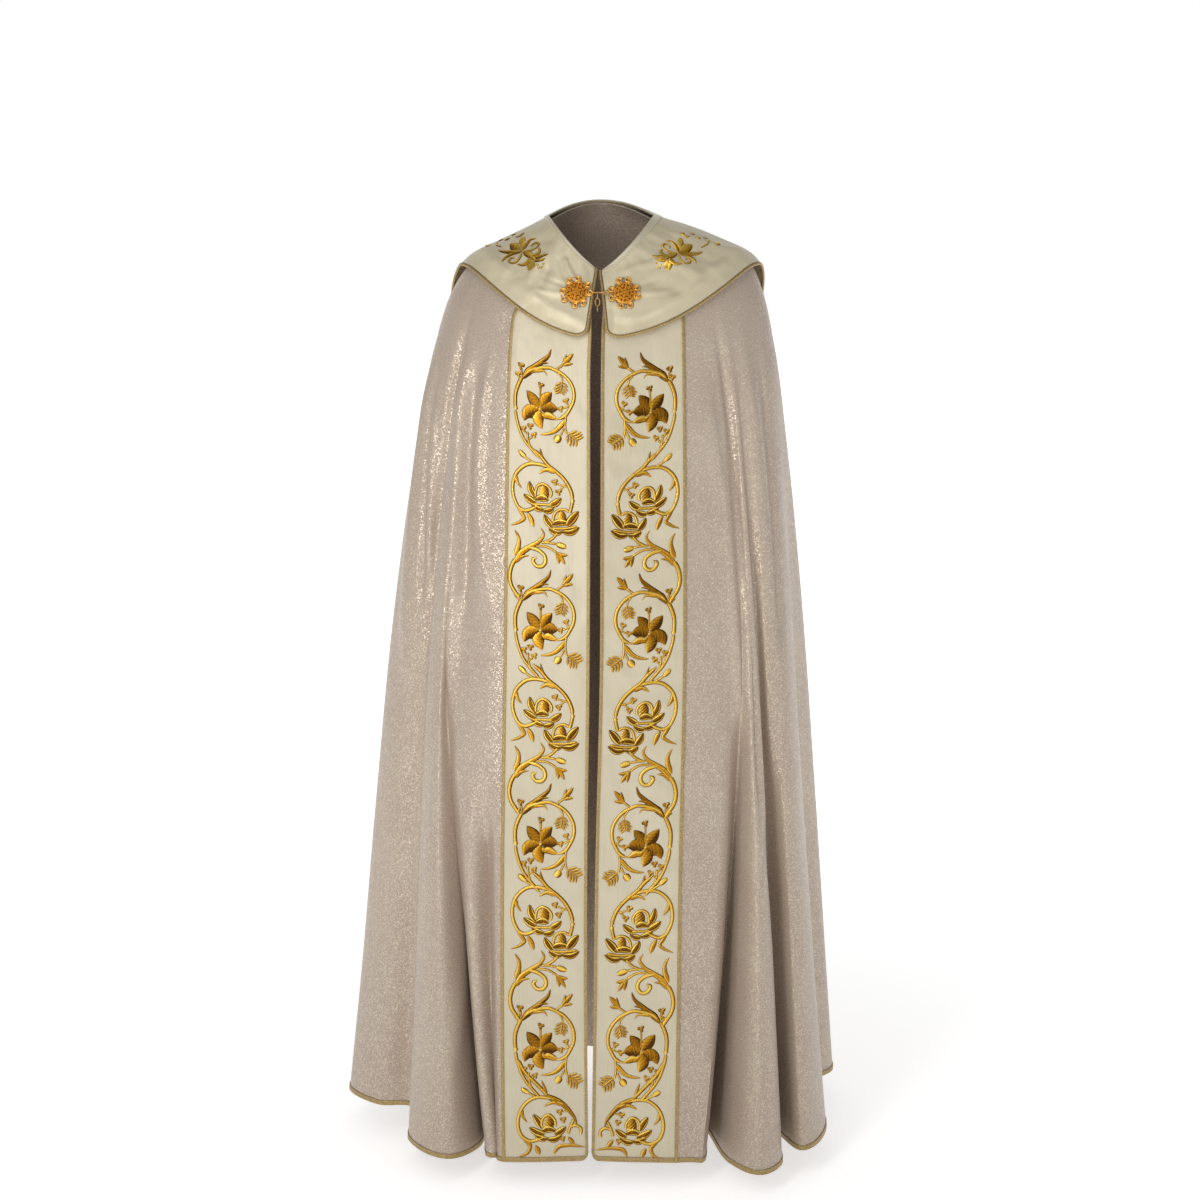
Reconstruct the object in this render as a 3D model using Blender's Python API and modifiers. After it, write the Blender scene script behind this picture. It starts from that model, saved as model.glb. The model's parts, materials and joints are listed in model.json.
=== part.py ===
"""Cope vestment as worn: cloak, hood, front orphreys, gold braid and a two-medallion clasp.

Metres, +Z up, the front faces -Y. The origin lies on the wearer's shoulders, at the middle of the neck
opening and level with the sides of the neck. Bearings turn from the front opening (0) by the wearer's
right side (90, -X), the back (180) and the other side (270) to the front opening again (360).
"""
from collections import namedtuple
import math

import bmesh
import bpy
from mathutils import Matrix, Vector
import numpy as np

COLLECTION = "cope_vestment"

# ---------------------------------------------------------------- driving dimensions (metres)
GAP = 0.0003
CLOAK_WALL = 0.0020
BAND_WALL = 0.0014
BRAID_WALL = 0.0011
HOOD_WALL = 0.0018
BINDING_WALL = 0.0012

BAND_WIDTH = 0.126
BAND_BRAID_WIDTH = 0.0045
BAND_CORNER = 0.012
HEM_BRAID_WIDTH = 0.0070

HOOD_CLEARANCE = 0.0045
HOOD_CORNER = 0.016
HOOD_CORNER_COLUMNS = (0.0, 0.0020, 0.0055, 0.0100, 0.0160)
HOOD_COLUMNS = 42
HOOD_ROWS = 8
PIPING_RADIUS = 0.0023
BINDING_WIDTH = 0.0085

MEDALLION_RADIUS = 0.0245
MEDALLION_WAIST = 0.0215
MEDALLION_LOBES = 8
STEPS_PER_LOBE = 6
MEDALLION_PLATE = 0.0016
MEDALLION_LIFT = 0.0008
DOME_RADIUS = 0.0150
DOME_HEIGHT = 0.0056
DOME_SEGMENTS = 16
DOME_RINGS = 8
WIRE_RADIUS = 0.0008
LINK_STEPS = 14
LINK_HALF_WIDTH = 0.0033
LINK_HALF_HEIGHTS = (0.0060, 0.0055, 0.0055)
WIRE_CLEARANCE = 0.0021
EYE_SPACE = 0.0006
CLASP_FORWARD = 0.0030
EYE_HALF_WIDTH = 0.0034
EYE_HALF_HEIGHT = 0.0030
HOOK_REACH = 0.0024
CHAIN_SHARE = 0.45
CHAIN_FORWARD = 0.35

# ---------------------------------------------------------------- the cloth's rings, neck to hem
# fall: distance down the cloth at the side; *_z: the ring's height at side, front and back; left, right,
# front, back: its half widths and depths; mid_y: its middle; slit_*: x of the two front edges;
# vee: how far the front comes to a point instead of a round.
Station = namedtuple(
    "Station",
    "name fall side_z front_z back_z left right front back mid_y slit_left slit_right vee",
)
STATIONS = [
    Station("neck", 0.0, -0.006, -0.088, 0.020, 0.073, 0.078, 0.100, 0.072, 0.0, -0.0100, 0.0055, 0.7),
    Station("collar", 0.035, -0.020, -0.108, 0.002, 0.099, 0.126, 0.114, 0.094, 0.0, -0.0115, 0.0052, 0.4),
    Station("shoulder", 0.085, -0.042, -0.136, -0.032, 0.144, 0.179, 0.126, 0.118, 0.0, -0.0125, 0.0045, 0.2),
    Station("tip", 0.145, -0.068, -0.172, -0.080, 0.190, 0.222, 0.136, 0.136, 0.0, -0.0122, 0.0022, 0.0),
    Station("arm_top", 0.195, -0.106, -0.212, -0.126, 0.217, 0.240, 0.144, 0.147, 0.0, -0.0136, 0.0014, 0.0),
    Station("arm", 0.280, -0.190, -0.290, -0.208, 0.246, 0.260, 0.154, 0.162, 0.002, -0.0139, 0.0010, 0.0),
    Station("chest", 0.430, -0.338, -0.430, -0.355, 0.275, 0.281, 0.170, 0.184, 0.006, -0.0139, 0.0007, 0.0),
    Station("waist", 0.680, -0.584, -0.660, -0.600, 0.311, 0.307, 0.196, 0.212, 0.013, -0.0150, -0.0004, 0.0),
    Station("hip", 0.980, -0.884, -0.938, -0.896, 0.342, 0.332, 0.221, 0.240, 0.021, -0.0183, -0.0068, 0.0),
    Station("knee", 1.250, -1.153, -1.189, -1.162, 0.367, 0.354, 0.239, 0.262, 0.027, -0.0186, -0.0100, 0.0),
    Station("hem", 1.450, -1.355, -1.373, -1.358, 0.389, 0.372, 0.252, 0.280, 0.030, -0.0170, -0.0126, 0.0),
]
ROUND_SWEEP = 2.2  # power that rounds the front of each ring
TIP_FALL = 0.145  # where the folds start, at the tip of the shoulder
HEM_FALL = 1.450
ROW_FALLS = (0.0, 0.035, 0.085, 0.145, 0.195, 0.28, 0.43, 0.62, 0.82, 1.02, 1.22, 1.36,
             HEM_FALL - HEM_BRAID_WIDTH, HEM_FALL)
BAND_TOP_ROW = 2

# ---------------------------------------------------------------- the folds, front opening to front opening
# bearing: where the fold leaves the shoulder, in degrees; hem_x, hem_y: where it stands at the hem, in mm;
# low: how much lower than the even ring its hem hangs, in mm; start: the share of the drop below the
# shoulder at which it begins; roundness: how far the cloth bulges there at the hem, 1 for a plain curve;
# columns: mesh columns from here to the next fold.
Fold = namedtuple("Fold", "name bearing hem_x hem_y low start roundness columns")
FOLDS = [
    Fold("left_band_flat", 33, -141, -224, 3, 0.00, 1.0, 1),
    Fold("left_strip", 41, -163, -217, 4, 0.40, 1.2, 4),
    Fold("left_tuck", 44, -169, -112, 4, 0.46, 1.5, 4),
    Fold("pipe_2_right", 46.5, -181, -164, 8, 0.40, 1.0, 4),
    Fold("pipe_2_ridge", 50, -224, -218, 4, 0.20, 1.2, 4),
    Fold("pipe_2_left", 55, -286, -146, 8, 0.06, 1.0, 4),
    Fold("valley_2_1", 58, -286, -48, 0, 0.00, 1.4, 5),
    Fold("pipe_1_ridge", 67, -344, -36, 0, 0.04, 1.1, 4),
    Fold("pipe_1_left", 80, -394, 44, 0, 0.04, 1.3, 5),
    Fold("side_valley_left", 95, -322, 112, 0, 0.10, 1.8, 5),
    Fold("back_ridge_a", 108, -340, 196, 0, 0.10, 2.0, 5),
    Fold("back_valley_a", 122, -238, 182, 0, 0.14, 2.0, 5),
    Fold("back_ridge_b", 136, -206, 284, 0, 0.12, 2.1, 5),
    Fold("back_valley_b", 150, -126, 228, 0, 0.10, 2.0, 5),
    Fold("back_ridge_c", 163, -76, 314, 0, 0.12, 2.1, 5),
    Fold("back_valley_c", 176, -6, 238, 0, 0.16, 2.0, 5),
    Fold("back_ridge_d", 190, 66, 320, 0, 0.12, 2.1, 5),
    Fold("back_valley_d", 204, 120, 232, 0, 0.10, 2.0, 5),
    Fold("back_ridge_e", 219, 196, 294, 0, 0.12, 2.1, 5),
    Fold("back_valley_e", 234, 244, 184, 0, 0.14, 1.9, 5),
    Fold("pipe_3_back", 250, 338, 216, 0, 0.10, 1.3, 4),
    Fold("pipe_3_right", 266, 376, 128, 0, 0.10, 1.3, 5),
    Fold("valley_3_2", 282, 306, 8, 0, 0.12, 1.6, 5),
    Fold("pipe_2r_right", 293, 344, -88, 8, 0.06, 1.2, 4),
    Fold("pipe_2r_ridge", 302, 300, -190, 6, 0.06, 1.3, 4),
    Fold("valley_2r_1r", 310, 262, -116, 8, 0.02, 1.5, 4),
    Fold("pipe_1r_right", 312.5, 266, -222, 12, 0.10, 1.0, 4),
    Fold("pipe_1r_ridge", 314.5, 233, -256, 13, 0.14, 1.2, 4),
    Fold("pipe_1r_left", 317, 190, -206, 14, 0.36, 1.0, 4),
    Fold("right_tuck", 319.5, 158, -100, 8, 0.48, 1.5, 4),
    Fold("right_strip", 322, 149, -219, 8, 0.42, 1.2, 3),
    Fold("right_band_flat", 329, 113, -224, 4, 0.00, 1.0, 1),
]
FOLD_SWELL = 1.15  # power by which a fold grows down the cloth
BAND_COLUMNS = (0.0, BAND_BRAID_WIDTH, BAND_CORNER, 0.036, 0.066, 0.096,
                BAND_WIDTH - BAND_BRAID_WIDTH, BAND_WIDTH)
BAND_SAMPLES = 96
BAND_SHARE = 0.92  # most of the cloth before the second fold that a band may take up

# ---------------------------------------------------------------- the hood's outer edge, by bearing
# bearing in degrees; fall: distance down the cloth from the neckline; lift: clearance added at the edge.
HoodEdge = namedtuple("HoodEdge", "bearing fall lift")
HOOD_EDGE = [
    HoodEdge(0, 0.151, 0.002),
    HoodEdge(25, 0.149, 0.002),
    HoodEdge(50, 0.147, 0.002),
    HoodEdge(75, 0.152, 0.003),
    HoodEdge(95, 0.168, 0.004),
    HoodEdge(115, 0.235, 0.007),
    HoodEdge(135, 0.330, 0.012),
    HoodEdge(158, 0.425, 0.016),
    HoodEdge(180, 0.458, 0.018),
    HoodEdge(202, 0.425, 0.016),
    HoodEdge(225, 0.330, 0.012),
    HoodEdge(245, 0.235, 0.008),
    HoodEdge(265, 0.168, 0.006),
    HoodEdge(285, 0.150, 0.005),
    HoodEdge(310, 0.147, 0.003),
    HoodEdge(335, 0.149, 0.002),
    HoodEdge(360, 0.151, 0.002),
]
HOOD_NECK_EDGES = {"left": -0.0095, "right": 0.0048}
HOOD_FOOT_EDGES = {"left": -0.0215, "right": 0.0125}

# where each medallion sits on the hood: distance down the cloth and bearing in degrees
MEDALLION_SPOTS = {"left": (0.068, 15.0), "right": (0.066, 347.5)}

# the hook's wire, from the left medallion: share of the way to the eye, how far past the eye's near side,
# and how far it stands forward, as a share of its reach
HookPoint = namedtuple("HookPoint", "share past_eye forward")
HOOK_ROUTE = [
    HookPoint(0.00, 0.0000, 0.0),
    HookPoint(0.35, 0.0000, 0.2),
    HookPoint(1.00, -0.0015, 0.8),
    HookPoint(1.00, 0.0005, 1.0),
    HookPoint(1.00, 0.0024, 0.7),
    HookPoint(1.00, 0.0030, 0.0),
    HookPoint(1.00, 0.0022, -0.6),
]

# name: base colour (sRGB hex), roughness, metallic
FINISHES = {
    "lame": ("#C9B8AC", 0.55, 0.15),
    "ivory_satin": ("#DCD6BE", 0.42, 0.0),
    "cream_satin": ("#E2DCC8", 0.45, 0.0),
    "gold_braid": ("#B89A5C", 0.45, 0.5),
    "gilt": ("#C08A2E", 0.30, 0.9),
}


# ---------------------------------------------------------------- helpers
def smooth(x, knots, values, gain=1.0):
    """Cubic Hermite curve through (knots, values), with central-difference slopes times a gain."""
    knots = np.asarray(knots, float)
    values = np.asarray(values, float)
    slopes = np.gradient(values, knots) * gain
    i = np.clip(np.searchsorted(knots, x, side="right") - 1, 0, len(knots) - 2)
    span = knots[i + 1] - knots[i]
    t = (x - knots[i]) / span
    return (
        values[i] * (1 + 2 * t) * (1 - t) ** 2
        + values[i + 1] * t**2 * (3 - 2 * t)
        + slopes[i] * span * t * (1 - t) ** 2
        - slopes[i + 1] * span * t**2 * (1 - t)
    )


def station(fall, name):
    """A named station column at a distance down the cloth."""
    falls = [s.fall for s in STATIONS]
    return smooth(fall, falls, [getattr(s, name) for s in STATIONS])


def half_width(fall, bearing):
    """Half width of the unfolded ring on the side that a bearing faces."""
    return np.where(np.sin(bearing) >= 0, station(fall, "left"), station(fall, "right"))


def depth(fall, bearing):
    """Depth of the unfolded ring towards the front or the back."""
    return np.where(np.cos(bearing) >= 0, station(fall, "front"), station(fall, "back"))


def ring_height(fall, bearing):
    """Height of the ring: round at the back, between a vee and a round at the front."""
    side = station(fall, "side_z")
    vee = station(fall, "vee")
    cosine = np.cos(bearing)
    rounded = np.abs(cosine) ** ROUND_SWEEP
    front = vee * (1 - np.abs(np.sin(bearing))) + (1 - vee) * rounded
    return np.where(
        cosine >= 0,
        side + (station(fall, "front_z") - side) * front,
        side + (station(fall, "back_z") - side) * cosine**2,
    )


def unfolded(fall, bearing, reach=1.0):
    """Point of the cloth before it is folded; reach scales it in or out from the ring's middle."""
    x = -half_width(fall, bearing) * reach * np.sin(bearing)
    y = station(fall, "mid_y") - depth(fall, bearing) * reach * np.cos(bearing)
    return np.stack([x, y, ring_height(fall, bearing)], axis=-1)


def bearing_of(fall, x, y):
    """(bearing, reach) of a plan position on the ring at a distance down the cloth."""
    away_y = y - station(fall, "mid_y")
    across = -x / np.where(x <= 0, station(fall, "left"), station(fall, "right"))
    along = -away_y / np.where(away_y <= 0, station(fall, "front"), station(fall, "back"))
    return np.arctan2(across, along) % (2 * math.pi), np.hypot(across, along)


def edge_bearing(fall, x):
    """Bearing at which the front of the ring passes x, a little past the full turn on the other side."""
    half = station(fall, "left") if x <= 0 else station(fall, "right")
    return float(np.arcsin(-x / half))


def front_edges(fall):
    """Bearings of the cloak's two front edges."""
    left = edge_bearing(fall, station(fall, "slit_left"))
    right = edge_bearing(fall, station(fall, "slit_right"))
    return left, 2 * math.pi + right


def fold_knots(fall):
    """(plan positions, roundness, hang) of every fold on a ring, front edge to front edge."""
    drop = np.clip((fall - TIP_FALL) / (HEM_FALL - TIP_FALL), 0, 1)
    left, right = front_edges(fall)
    points, gains, hang = [unfolded(fall, left)], [1.0], [0.0]
    for fold in FOLDS:
        hem_bearing, hem_reach = bearing_of(HEM_FALL, fold.hem_x / 1000, fold.hem_y / 1000)
        growth = np.clip((drop - fold.start) / (1 - fold.start), 0, 1) ** FOLD_SWELL
        bearing = math.radians(fold.bearing) * (1 - growth) + hem_bearing * growth
        points.append(unfolded(fall, bearing, 1 + (hem_reach - 1) * growth))
        gains.append(1 + (fold.roundness - 1) * growth)
        hang.append(fold.low / 1000 * growth)
    points.append(unfolded(fall, right))
    return np.array(points)[:, :2], np.array(gains + [1.0]), np.array(hang + [0.0])


def ring(fall):
    """Points of the cloth on one ring: the folds' curve, sampled at the mesh columns."""
    knots, gains, hang = fold_knots(fall)
    steps = np.linalg.norm(np.diff(knots, axis=0), axis=1) ** 0.5
    at_knot = np.concatenate([[0], np.cumsum(steps)])

    def point(t):
        x, y = smooth(t, at_knot, knots[:, 0], gains), smooth(t, at_knot, knots[:, 1], gains)
        bearing, _ = bearing_of(fall, x, y)
        height = ring_height(fall, bearing) - smooth(t, at_knot, hang)
        return np.stack([x, y, height], axis=-1)

    def band(start, stop):
        """Parameters of the band's columns, laid off by length from the front edge at start."""
        t = np.linspace(start, stop, BAND_SAMPLES)
        length = np.concatenate([[0], np.cumsum(np.linalg.norm(np.diff(point(t), axis=0), axis=1))])
        width = min(BAND_WIDTH, BAND_SHARE * length[-1])
        return np.interp(np.array(BAND_COLUMNS) * width / BAND_WIDTH, length, t)

    left = band(at_knot[0], at_knot[2])
    right = band(at_knot[-1], at_knot[-3])[::-1]
    middle = [np.linspace(left[-1], at_knot[2], FOLDS[1].columns + 1)[1:]]
    for i in range(2, len(FOLDS) - 1):
        middle.append(np.linspace(at_knot[i], at_knot[i + 1], FOLDS[i].columns + 1)[1:])
    middle.append(np.linspace(at_knot[-3], right[0], FOLDS[-2].columns + 1)[1:-1])
    return point(np.concatenate([left, *middle, right]))


def cloak_grid(falls):
    """Rows of cloth points from neck to hem, with the lower front corners rounded."""
    grid = np.array([ring(fall) for fall in falls])
    for k, away in enumerate(BAND_COLUMNS):
        if away < BAND_CORNER:
            rise = BAND_CORNER - math.sqrt(BAND_CORNER**2 - (BAND_CORNER - away) ** 2)
            for column in (k, -1 - k):
                grid[-1, column, 2] += rise
                grid[-2, column, 2] += rise
    return grid


def outward(grid):
    """Unit normals of a grid of rows, which run front edge to front edge, pointing away from the wearer."""
    facing = np.cross(grid[1:, 1:] - grid[:-1, :-1], grid[1:, :-1] - grid[:-1, 1:])
    facing /= np.linalg.norm(facing, axis=-1, keepdims=True)
    normals = np.zeros_like(grid)
    for rows in (slice(None, -1), slice(1, None)):
        for columns in (slice(None, -1), slice(1, None)):
            normals[rows, columns] += facing
    return normals / np.linalg.norm(normals, axis=-1, keepdims=True)


def inset(grid, distance):
    """The grid with its first and last columns moved in along the rows by a distance."""
    moved = grid.copy()
    for edge, inner in ((0, 1), (-1, -2)):
        across = grid[:, inner] - grid[:, edge]
        moved[:, edge] += across / np.linalg.norm(across, axis=-1, keepdims=True) * distance
    return moved


def hex_to_linear(code):
    """Linear RGBA of an sRGB hex code."""
    channels = [int(code[i:i + 2], 16) / 255 for i in (1, 3, 5)]
    return [c / 12.92 if c <= 0.04045 else ((c + 0.055) / 1.055) ** 2.4 for c in channels] + [1.0]


def material(node, finish):
    """A node's own Principled material."""
    code, roughness, metallic = FINISHES[finish]
    made = bpy.data.materials.new(f"{node}_{finish}")
    made.use_nodes = True
    shader = made.node_tree.nodes["Principled BSDF"]
    shader.inputs["Base Color"].default_value = hex_to_linear(code)
    shader.inputs["Roughness"].default_value = roughness
    shader.inputs["Metallic"].default_value = metallic
    made.diffuse_color = hex_to_linear(code)
    return made


def add(name, data, finish):
    """Object of a mesh or curve, in the garment's collection, with its own material."""
    made = bpy.data.objects.new(name, data)
    data.materials.append(material(name, finish))
    bpy.data.collections[COLLECTION].objects.link(made)
    return made


def sheet_mesh(name, grid):
    """Open mesh of a grid of points, each quad split the same way so that laid-on pieces stay parallel."""
    rows, columns = grid.shape[:2]
    index = np.arange(rows * columns).reshape(rows, columns)
    a, b = index[:-1, :-1].ravel(), index[:-1, 1:].ravel()
    c, d = index[1:, 1:].ravel(), index[1:, :-1].ravel()
    faces = np.concatenate([np.stack([a, b, c], 1), np.stack([a, c, d], 1)])
    mesh = bpy.data.meshes.new(name)
    mesh.from_pydata(grid.reshape(-1, 3).tolist(), [], faces.tolist())
    mesh.update()
    mesh.shade_smooth()
    return mesh


def cloth(name, grid, normals, lift, wall, finish, inside=False):
    """A wall of cloth on a grid of points moved out by lift, outside those points or inside them."""
    made = add(name, sheet_mesh(name, grid + normals * lift), finish)
    solid = made.modifiers.new("wall", "SOLIDIFY")
    solid.thickness = wall
    solid.offset = -1.0 if inside else 1.0
    solid.use_even_offset = False
    return made


def tube(name, points, radius, finish, sides=2, closed=False):
    """A round wire or piping along points."""
    curve = bpy.data.curves.new(name, "CURVE")
    curve.dimensions = "3D"
    spline = curve.splines.new("POLY")
    spline.points.add(len(points) - 1)
    for knot, point in zip(spline.points, points):
        knot.co = (*point, 1)
    spline.use_cyclic_u = closed
    curve.bevel_depth = radius
    curve.bevel_resolution = sides
    curve.use_fill_caps = not closed
    return add(name, curve, finish)


# ---------------------------------------------------------------- the cloak, its bands and braids
def build_cloak(grid, normals):
    """The cloak is one cut of lame, its wall inside the grid."""
    return cloth("cope_body", grid, normals, 0.0, CLOAK_WALL, "lame", inside=True)


def build_bands(grid, normals):
    """Orphreys on the front edges, with braid down both sides and a narrow edge at the foot."""
    columns = len(BAND_COLUMNS)
    lift = 2 * GAP + BAND_WALL
    for side, part in (("left", slice(0, columns)), ("right", slice(-columns, None))):
        band, facing = grid[BAND_TOP_ROW:, part], normals[BAND_TOP_ROW:, part]
        cloth(f"orphrey_{side}", band, facing, GAP, BAND_WALL, "ivory_satin")
        for first, pair in ((True, slice(0, 2)), (False, slice(-2, None))):
            where = "inner" if first == (side == "left") else "outer"
            name = f"orphrey_braid_{side}_{where}"
            cloth(name, band[:, pair], facing[:, pair], lift, BRAID_WALL, "gold_braid")
        foot, foot_facing = inset(band[-2:, 1:-1], 2 * GAP), facing[-2:, 1:-1]
        cloth(f"orphrey_hem_{side}", foot, foot_facing, lift, BRAID_WALL, "gold_braid")


def build_hem_braid(grid, normals):
    """Braid on the last two rows, between the orphreys."""
    first = len(BAND_COLUMNS) - 1
    part = slice(first, -first)
    hem = inset(grid[-2:, part], 2 * GAP)
    return cloth("hem_braid", hem, normals[-2:, part], GAP, BRAID_WALL, "gold_braid")


# ---------------------------------------------------------------- the hood
def hood_edge(bearing, name):
    """Fall or lift of the hood's outer edge at a bearing."""
    bearings = [math.radians(e.bearing) for e in HOOD_EDGE]
    return smooth(bearing, bearings, [getattr(e, name) for e in HOOD_EDGE])


def hood_row(share):
    """(fall, bearing, lift) along one row of the hood, share 0 at the neck binding, 1 at the outer edge."""
    nominal = BINDING_WIDTH + share * (hood_edge(0.0, "fall") - BINDING_WIDTH) if share >= 0 else 0.0
    down = max(share, 0.0)
    x = {side: HOOD_NECK_EDGES[side] + (HOOD_FOOT_EDGES[side] - HOOD_NECK_EDGES[side]) * down
         for side in ("left", "right")}
    first, last = edge_bearing(nominal, x["left"]), 2 * math.pi + edge_bearing(nominal, x["right"])
    near = np.array(HOOD_CORNER_COLUMNS) / float(station(nominal, "left"))
    middle = np.linspace(first + near[-1], last - near[-1], HOOD_COLUMNS)
    bearing = np.concatenate([first + near[:-1], middle, (last - near[:-1])[::-1]])
    cut = np.zeros_like(bearing)
    for k, away in enumerate(HOOD_CORNER_COLUMNS):
        cut[[k, -1 - k]] = HOOD_CORNER - math.sqrt(HOOD_CORNER**2 - (HOOD_CORNER - away) ** 2)
    edge = hood_edge(np.clip(bearing, 0, 2 * math.pi), "fall") - cut
    fall = BINDING_WIDTH + down * (edge - BINDING_WIDTH) if share >= 0 else np.zeros_like(edge)
    lift = HOOD_CLEARANCE + hood_edge(np.clip(bearing, 0, 2 * math.pi), "lift") * down**2
    return fall, bearing, lift


def hood_grid():
    """Rows of hood points from the neckline to the outer edge, clear of the unfolded cloth."""
    rows = [hood_row(share) for share in (-1.0, *np.linspace(0, 1, HOOD_ROWS))]
    points = np.array([unfolded(fall, bearing) for fall, bearing, _ in rows])
    lifts = np.array([lift for _, _, lift in rows])
    return points + outward(points) * lifts[..., None]


def border(grid):
    """The grid's open border: down its first column, along its last row and up its last column."""
    return np.concatenate([grid[:-1, 0], grid[-1, :], grid[-2::-1, -1]])


def build_hood(grid, normals):
    """Hood, the piping along its border and the binding round its neckline."""
    cloth("hood", grid, normals, 0.0, HOOD_WALL, "ivory_satin")
    line, facing = border(grid), border(normals)
    along = np.gradient(line, axis=0)
    away = np.cross(facing, along)
    away /= np.linalg.norm(away, axis=-1, keepdims=True)
    path = line + facing * HOOD_WALL / 2 + away * (PIPING_RADIUS + 2 * GAP)
    tube("hood_piping", path, PIPING_RADIUS, "gold_braid", 1)
    neck = inset(grid[:2], 2 * GAP)
    cloth("neck_binding", neck, normals[:2], HOOD_WALL + GAP, BINDING_WALL, "cream_satin")


# ---------------------------------------------------------------- the clasp
def hood_surface(fall, bearing, step=0.002):
    """(point, outward normal) on the hood's outer face, from points a step to each side."""
    centre = unfolded(fall, bearing)
    across = unfolded(fall, bearing + step) - unfolded(fall, bearing - step)
    down = unfolded(fall + step, bearing) - unfolded(fall - step, bearing)
    normal = np.cross(across, down)
    normal /= np.linalg.norm(normal)
    return Vector(centre + normal * (HOOD_CLEARANCE + HOOD_WALL)), Vector(normal)


def facing_frame(point, normal):
    """Matrix whose Z is the normal and whose Y points up the cloth."""
    right = Vector((0, 0, 1)).cross(normal).normalized()
    up = normal.cross(right)
    frame = Matrix((right, up, normal)).transposed().to_4x4()
    frame.translation = point
    return frame


def scalloped(steps):
    """Outline of the medallion's eight-lobed plate."""
    middle = (MEDALLION_RADIUS + MEDALLION_WAIST) / 2
    swing = (MEDALLION_RADIUS - MEDALLION_WAIST) / 2
    turns = np.arange(steps) * 2 * math.pi / steps
    radius = middle + swing * np.cos(MEDALLION_LOBES * turns)
    return np.stack([radius * np.cos(turns), radius * np.sin(turns)], axis=-1)


def mesh_of(curve_object):
    """Welded mesh of a curve object, which is removed."""
    bpy.context.view_layer.update()
    graph = bpy.context.evaluated_depsgraph_get()
    mesh = bpy.data.meshes.new_from_object(curve_object.evaluated_get(graph))
    bpy.data.objects.remove(curve_object, do_unlink=True)
    solid = bmesh.new()
    solid.from_mesh(mesh)
    bmesh.ops.remove_doubles(solid, verts=solid.verts, dist=0.00001)
    solid.to_mesh(mesh)
    solid.free()
    return mesh


def build_medallion(side):
    """One gilt medallion: a scalloped plate joined to a low dome."""
    name = f"medallion_{side}"
    fall, bearing = MEDALLION_SPOTS[side]
    point, normal = hood_surface(fall, math.radians(bearing))
    frame = facing_frame(point + normal * (MEDALLION_LIFT + MEDALLION_PLATE / 2), normal)

    outline = bpy.data.curves.new(f"{name}_outline", "CURVE")
    outline.dimensions = "2D"
    outline.fill_mode = "BOTH"
    outline.extrude = MEDALLION_PLATE / 2
    spline = outline.splines.new("POLY")
    edge = scalloped(MEDALLION_LOBES * STEPS_PER_LOBE)
    spline.points.add(len(edge) - 1)
    for knot, (x, y) in zip(spline.points, edge):
        knot.co = (x, y, 0, 1)
    spline.use_cyclic_u = True
    drawn = bpy.data.objects.new(f"{name}_outline", outline)
    bpy.data.collections["cutters"].objects.link(drawn)
    made = add(name, mesh_of(drawn), "gilt")
    made.matrix_world = frame

    ball = bmesh.new()
    bmesh.ops.create_uvsphere(ball, u_segments=DOME_SEGMENTS, v_segments=DOME_RINGS, radius=1.0)
    bmesh.ops.scale(ball, verts=ball.verts, vec=(DOME_RADIUS, DOME_RADIUS, DOME_HEIGHT))
    whole = ball.verts[:] + ball.edges[:] + ball.faces[:]
    bmesh.ops.bisect_plane(ball, geom=whole, plane_co=(0, 0, 0), plane_no=(0, 0, -1), clear_outer=True)
    bmesh.ops.holes_fill(ball, edges=ball.edges)
    dome_mesh = bpy.data.meshes.new(f"{name}_dome")
    ball.to_mesh(dome_mesh)
    ball.free()
    dome = bpy.data.objects.new(f"{name}_dome", dome_mesh)
    dome.matrix_world = frame
    dome.hide_render = True
    dome.display_type = "WIRE"
    bpy.data.collections["cutters"].objects.link(dome)
    join = made.modifiers.new("dome", "BOOLEAN")
    join.operation = "UNION"
    join.object = dome
    return frame


def loop_points(centre, across, up, half_width, half_height):
    """Points of an upright oval wire loop."""
    turns = np.arange(LINK_STEPS) * 2 * math.pi / LINK_STEPS
    return [
        Vector(centre) + Vector(across) * half_width * math.sin(t) + Vector(up) * half_height * math.cos(t)
        for t in turns
    ]


def build_clasp(left, right):
    """Hook on the left medallion, eye on the right one, and three links hanging from the hook."""
    left_rim = left @ Vector((MEDALLION_WAIST + EYE_SPACE, 0, 0))
    right_rim = right @ Vector((-MEDALLION_WAIST - EYE_SPACE, 0, 0))
    ahead = (left_rim.y + right_rim.y) / 2 - CLASP_FORWARD
    height = (left_rim.z + right_rim.z) / 2
    upright = Vector((0, 0, 1))
    eye_centre = Vector((right_rim.x - EYE_HALF_WIDTH - WIRE_RADIUS, ahead, height))
    eye = loop_points(eye_centre, (1, 0, 0), upright, EYE_HALF_WIDTH, EYE_HALF_HEIGHT)
    tube("clasp_eye", eye, WIRE_RADIUS, "gilt", 1, closed=True)

    start = left_rim.x + WIRE_RADIUS
    span = eye_centre.x - EYE_HALF_WIDTH - start
    hook = [
        (start + p.share * span + p.past_eye, ahead - p.forward * HOOK_REACH, height)
        for p in HOOK_ROUTE
    ]
    tube("clasp_hook", hook, WIRE_RADIUS, "gilt", 1)

    bar = Vector((start + CHAIN_SHARE * span, ahead - CHAIN_FORWARD * HOOK_REACH, height))
    held = bar.z
    for k, half_height in enumerate(LINK_HALF_HEIGHTS):
        centre = (bar.x, bar.y, held + WIRE_CLEARANCE - half_height)
        across = (0, 1, 0) if k % 2 == 0 else (1, 0, 0)
        link = loop_points(centre, across, upright, LINK_HALF_WIDTH, half_height)
        tube(f"chain_link_{k + 1}", link, WIRE_RADIUS, "gilt", 1, closed=True)
        held = centre[2] - half_height


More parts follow.
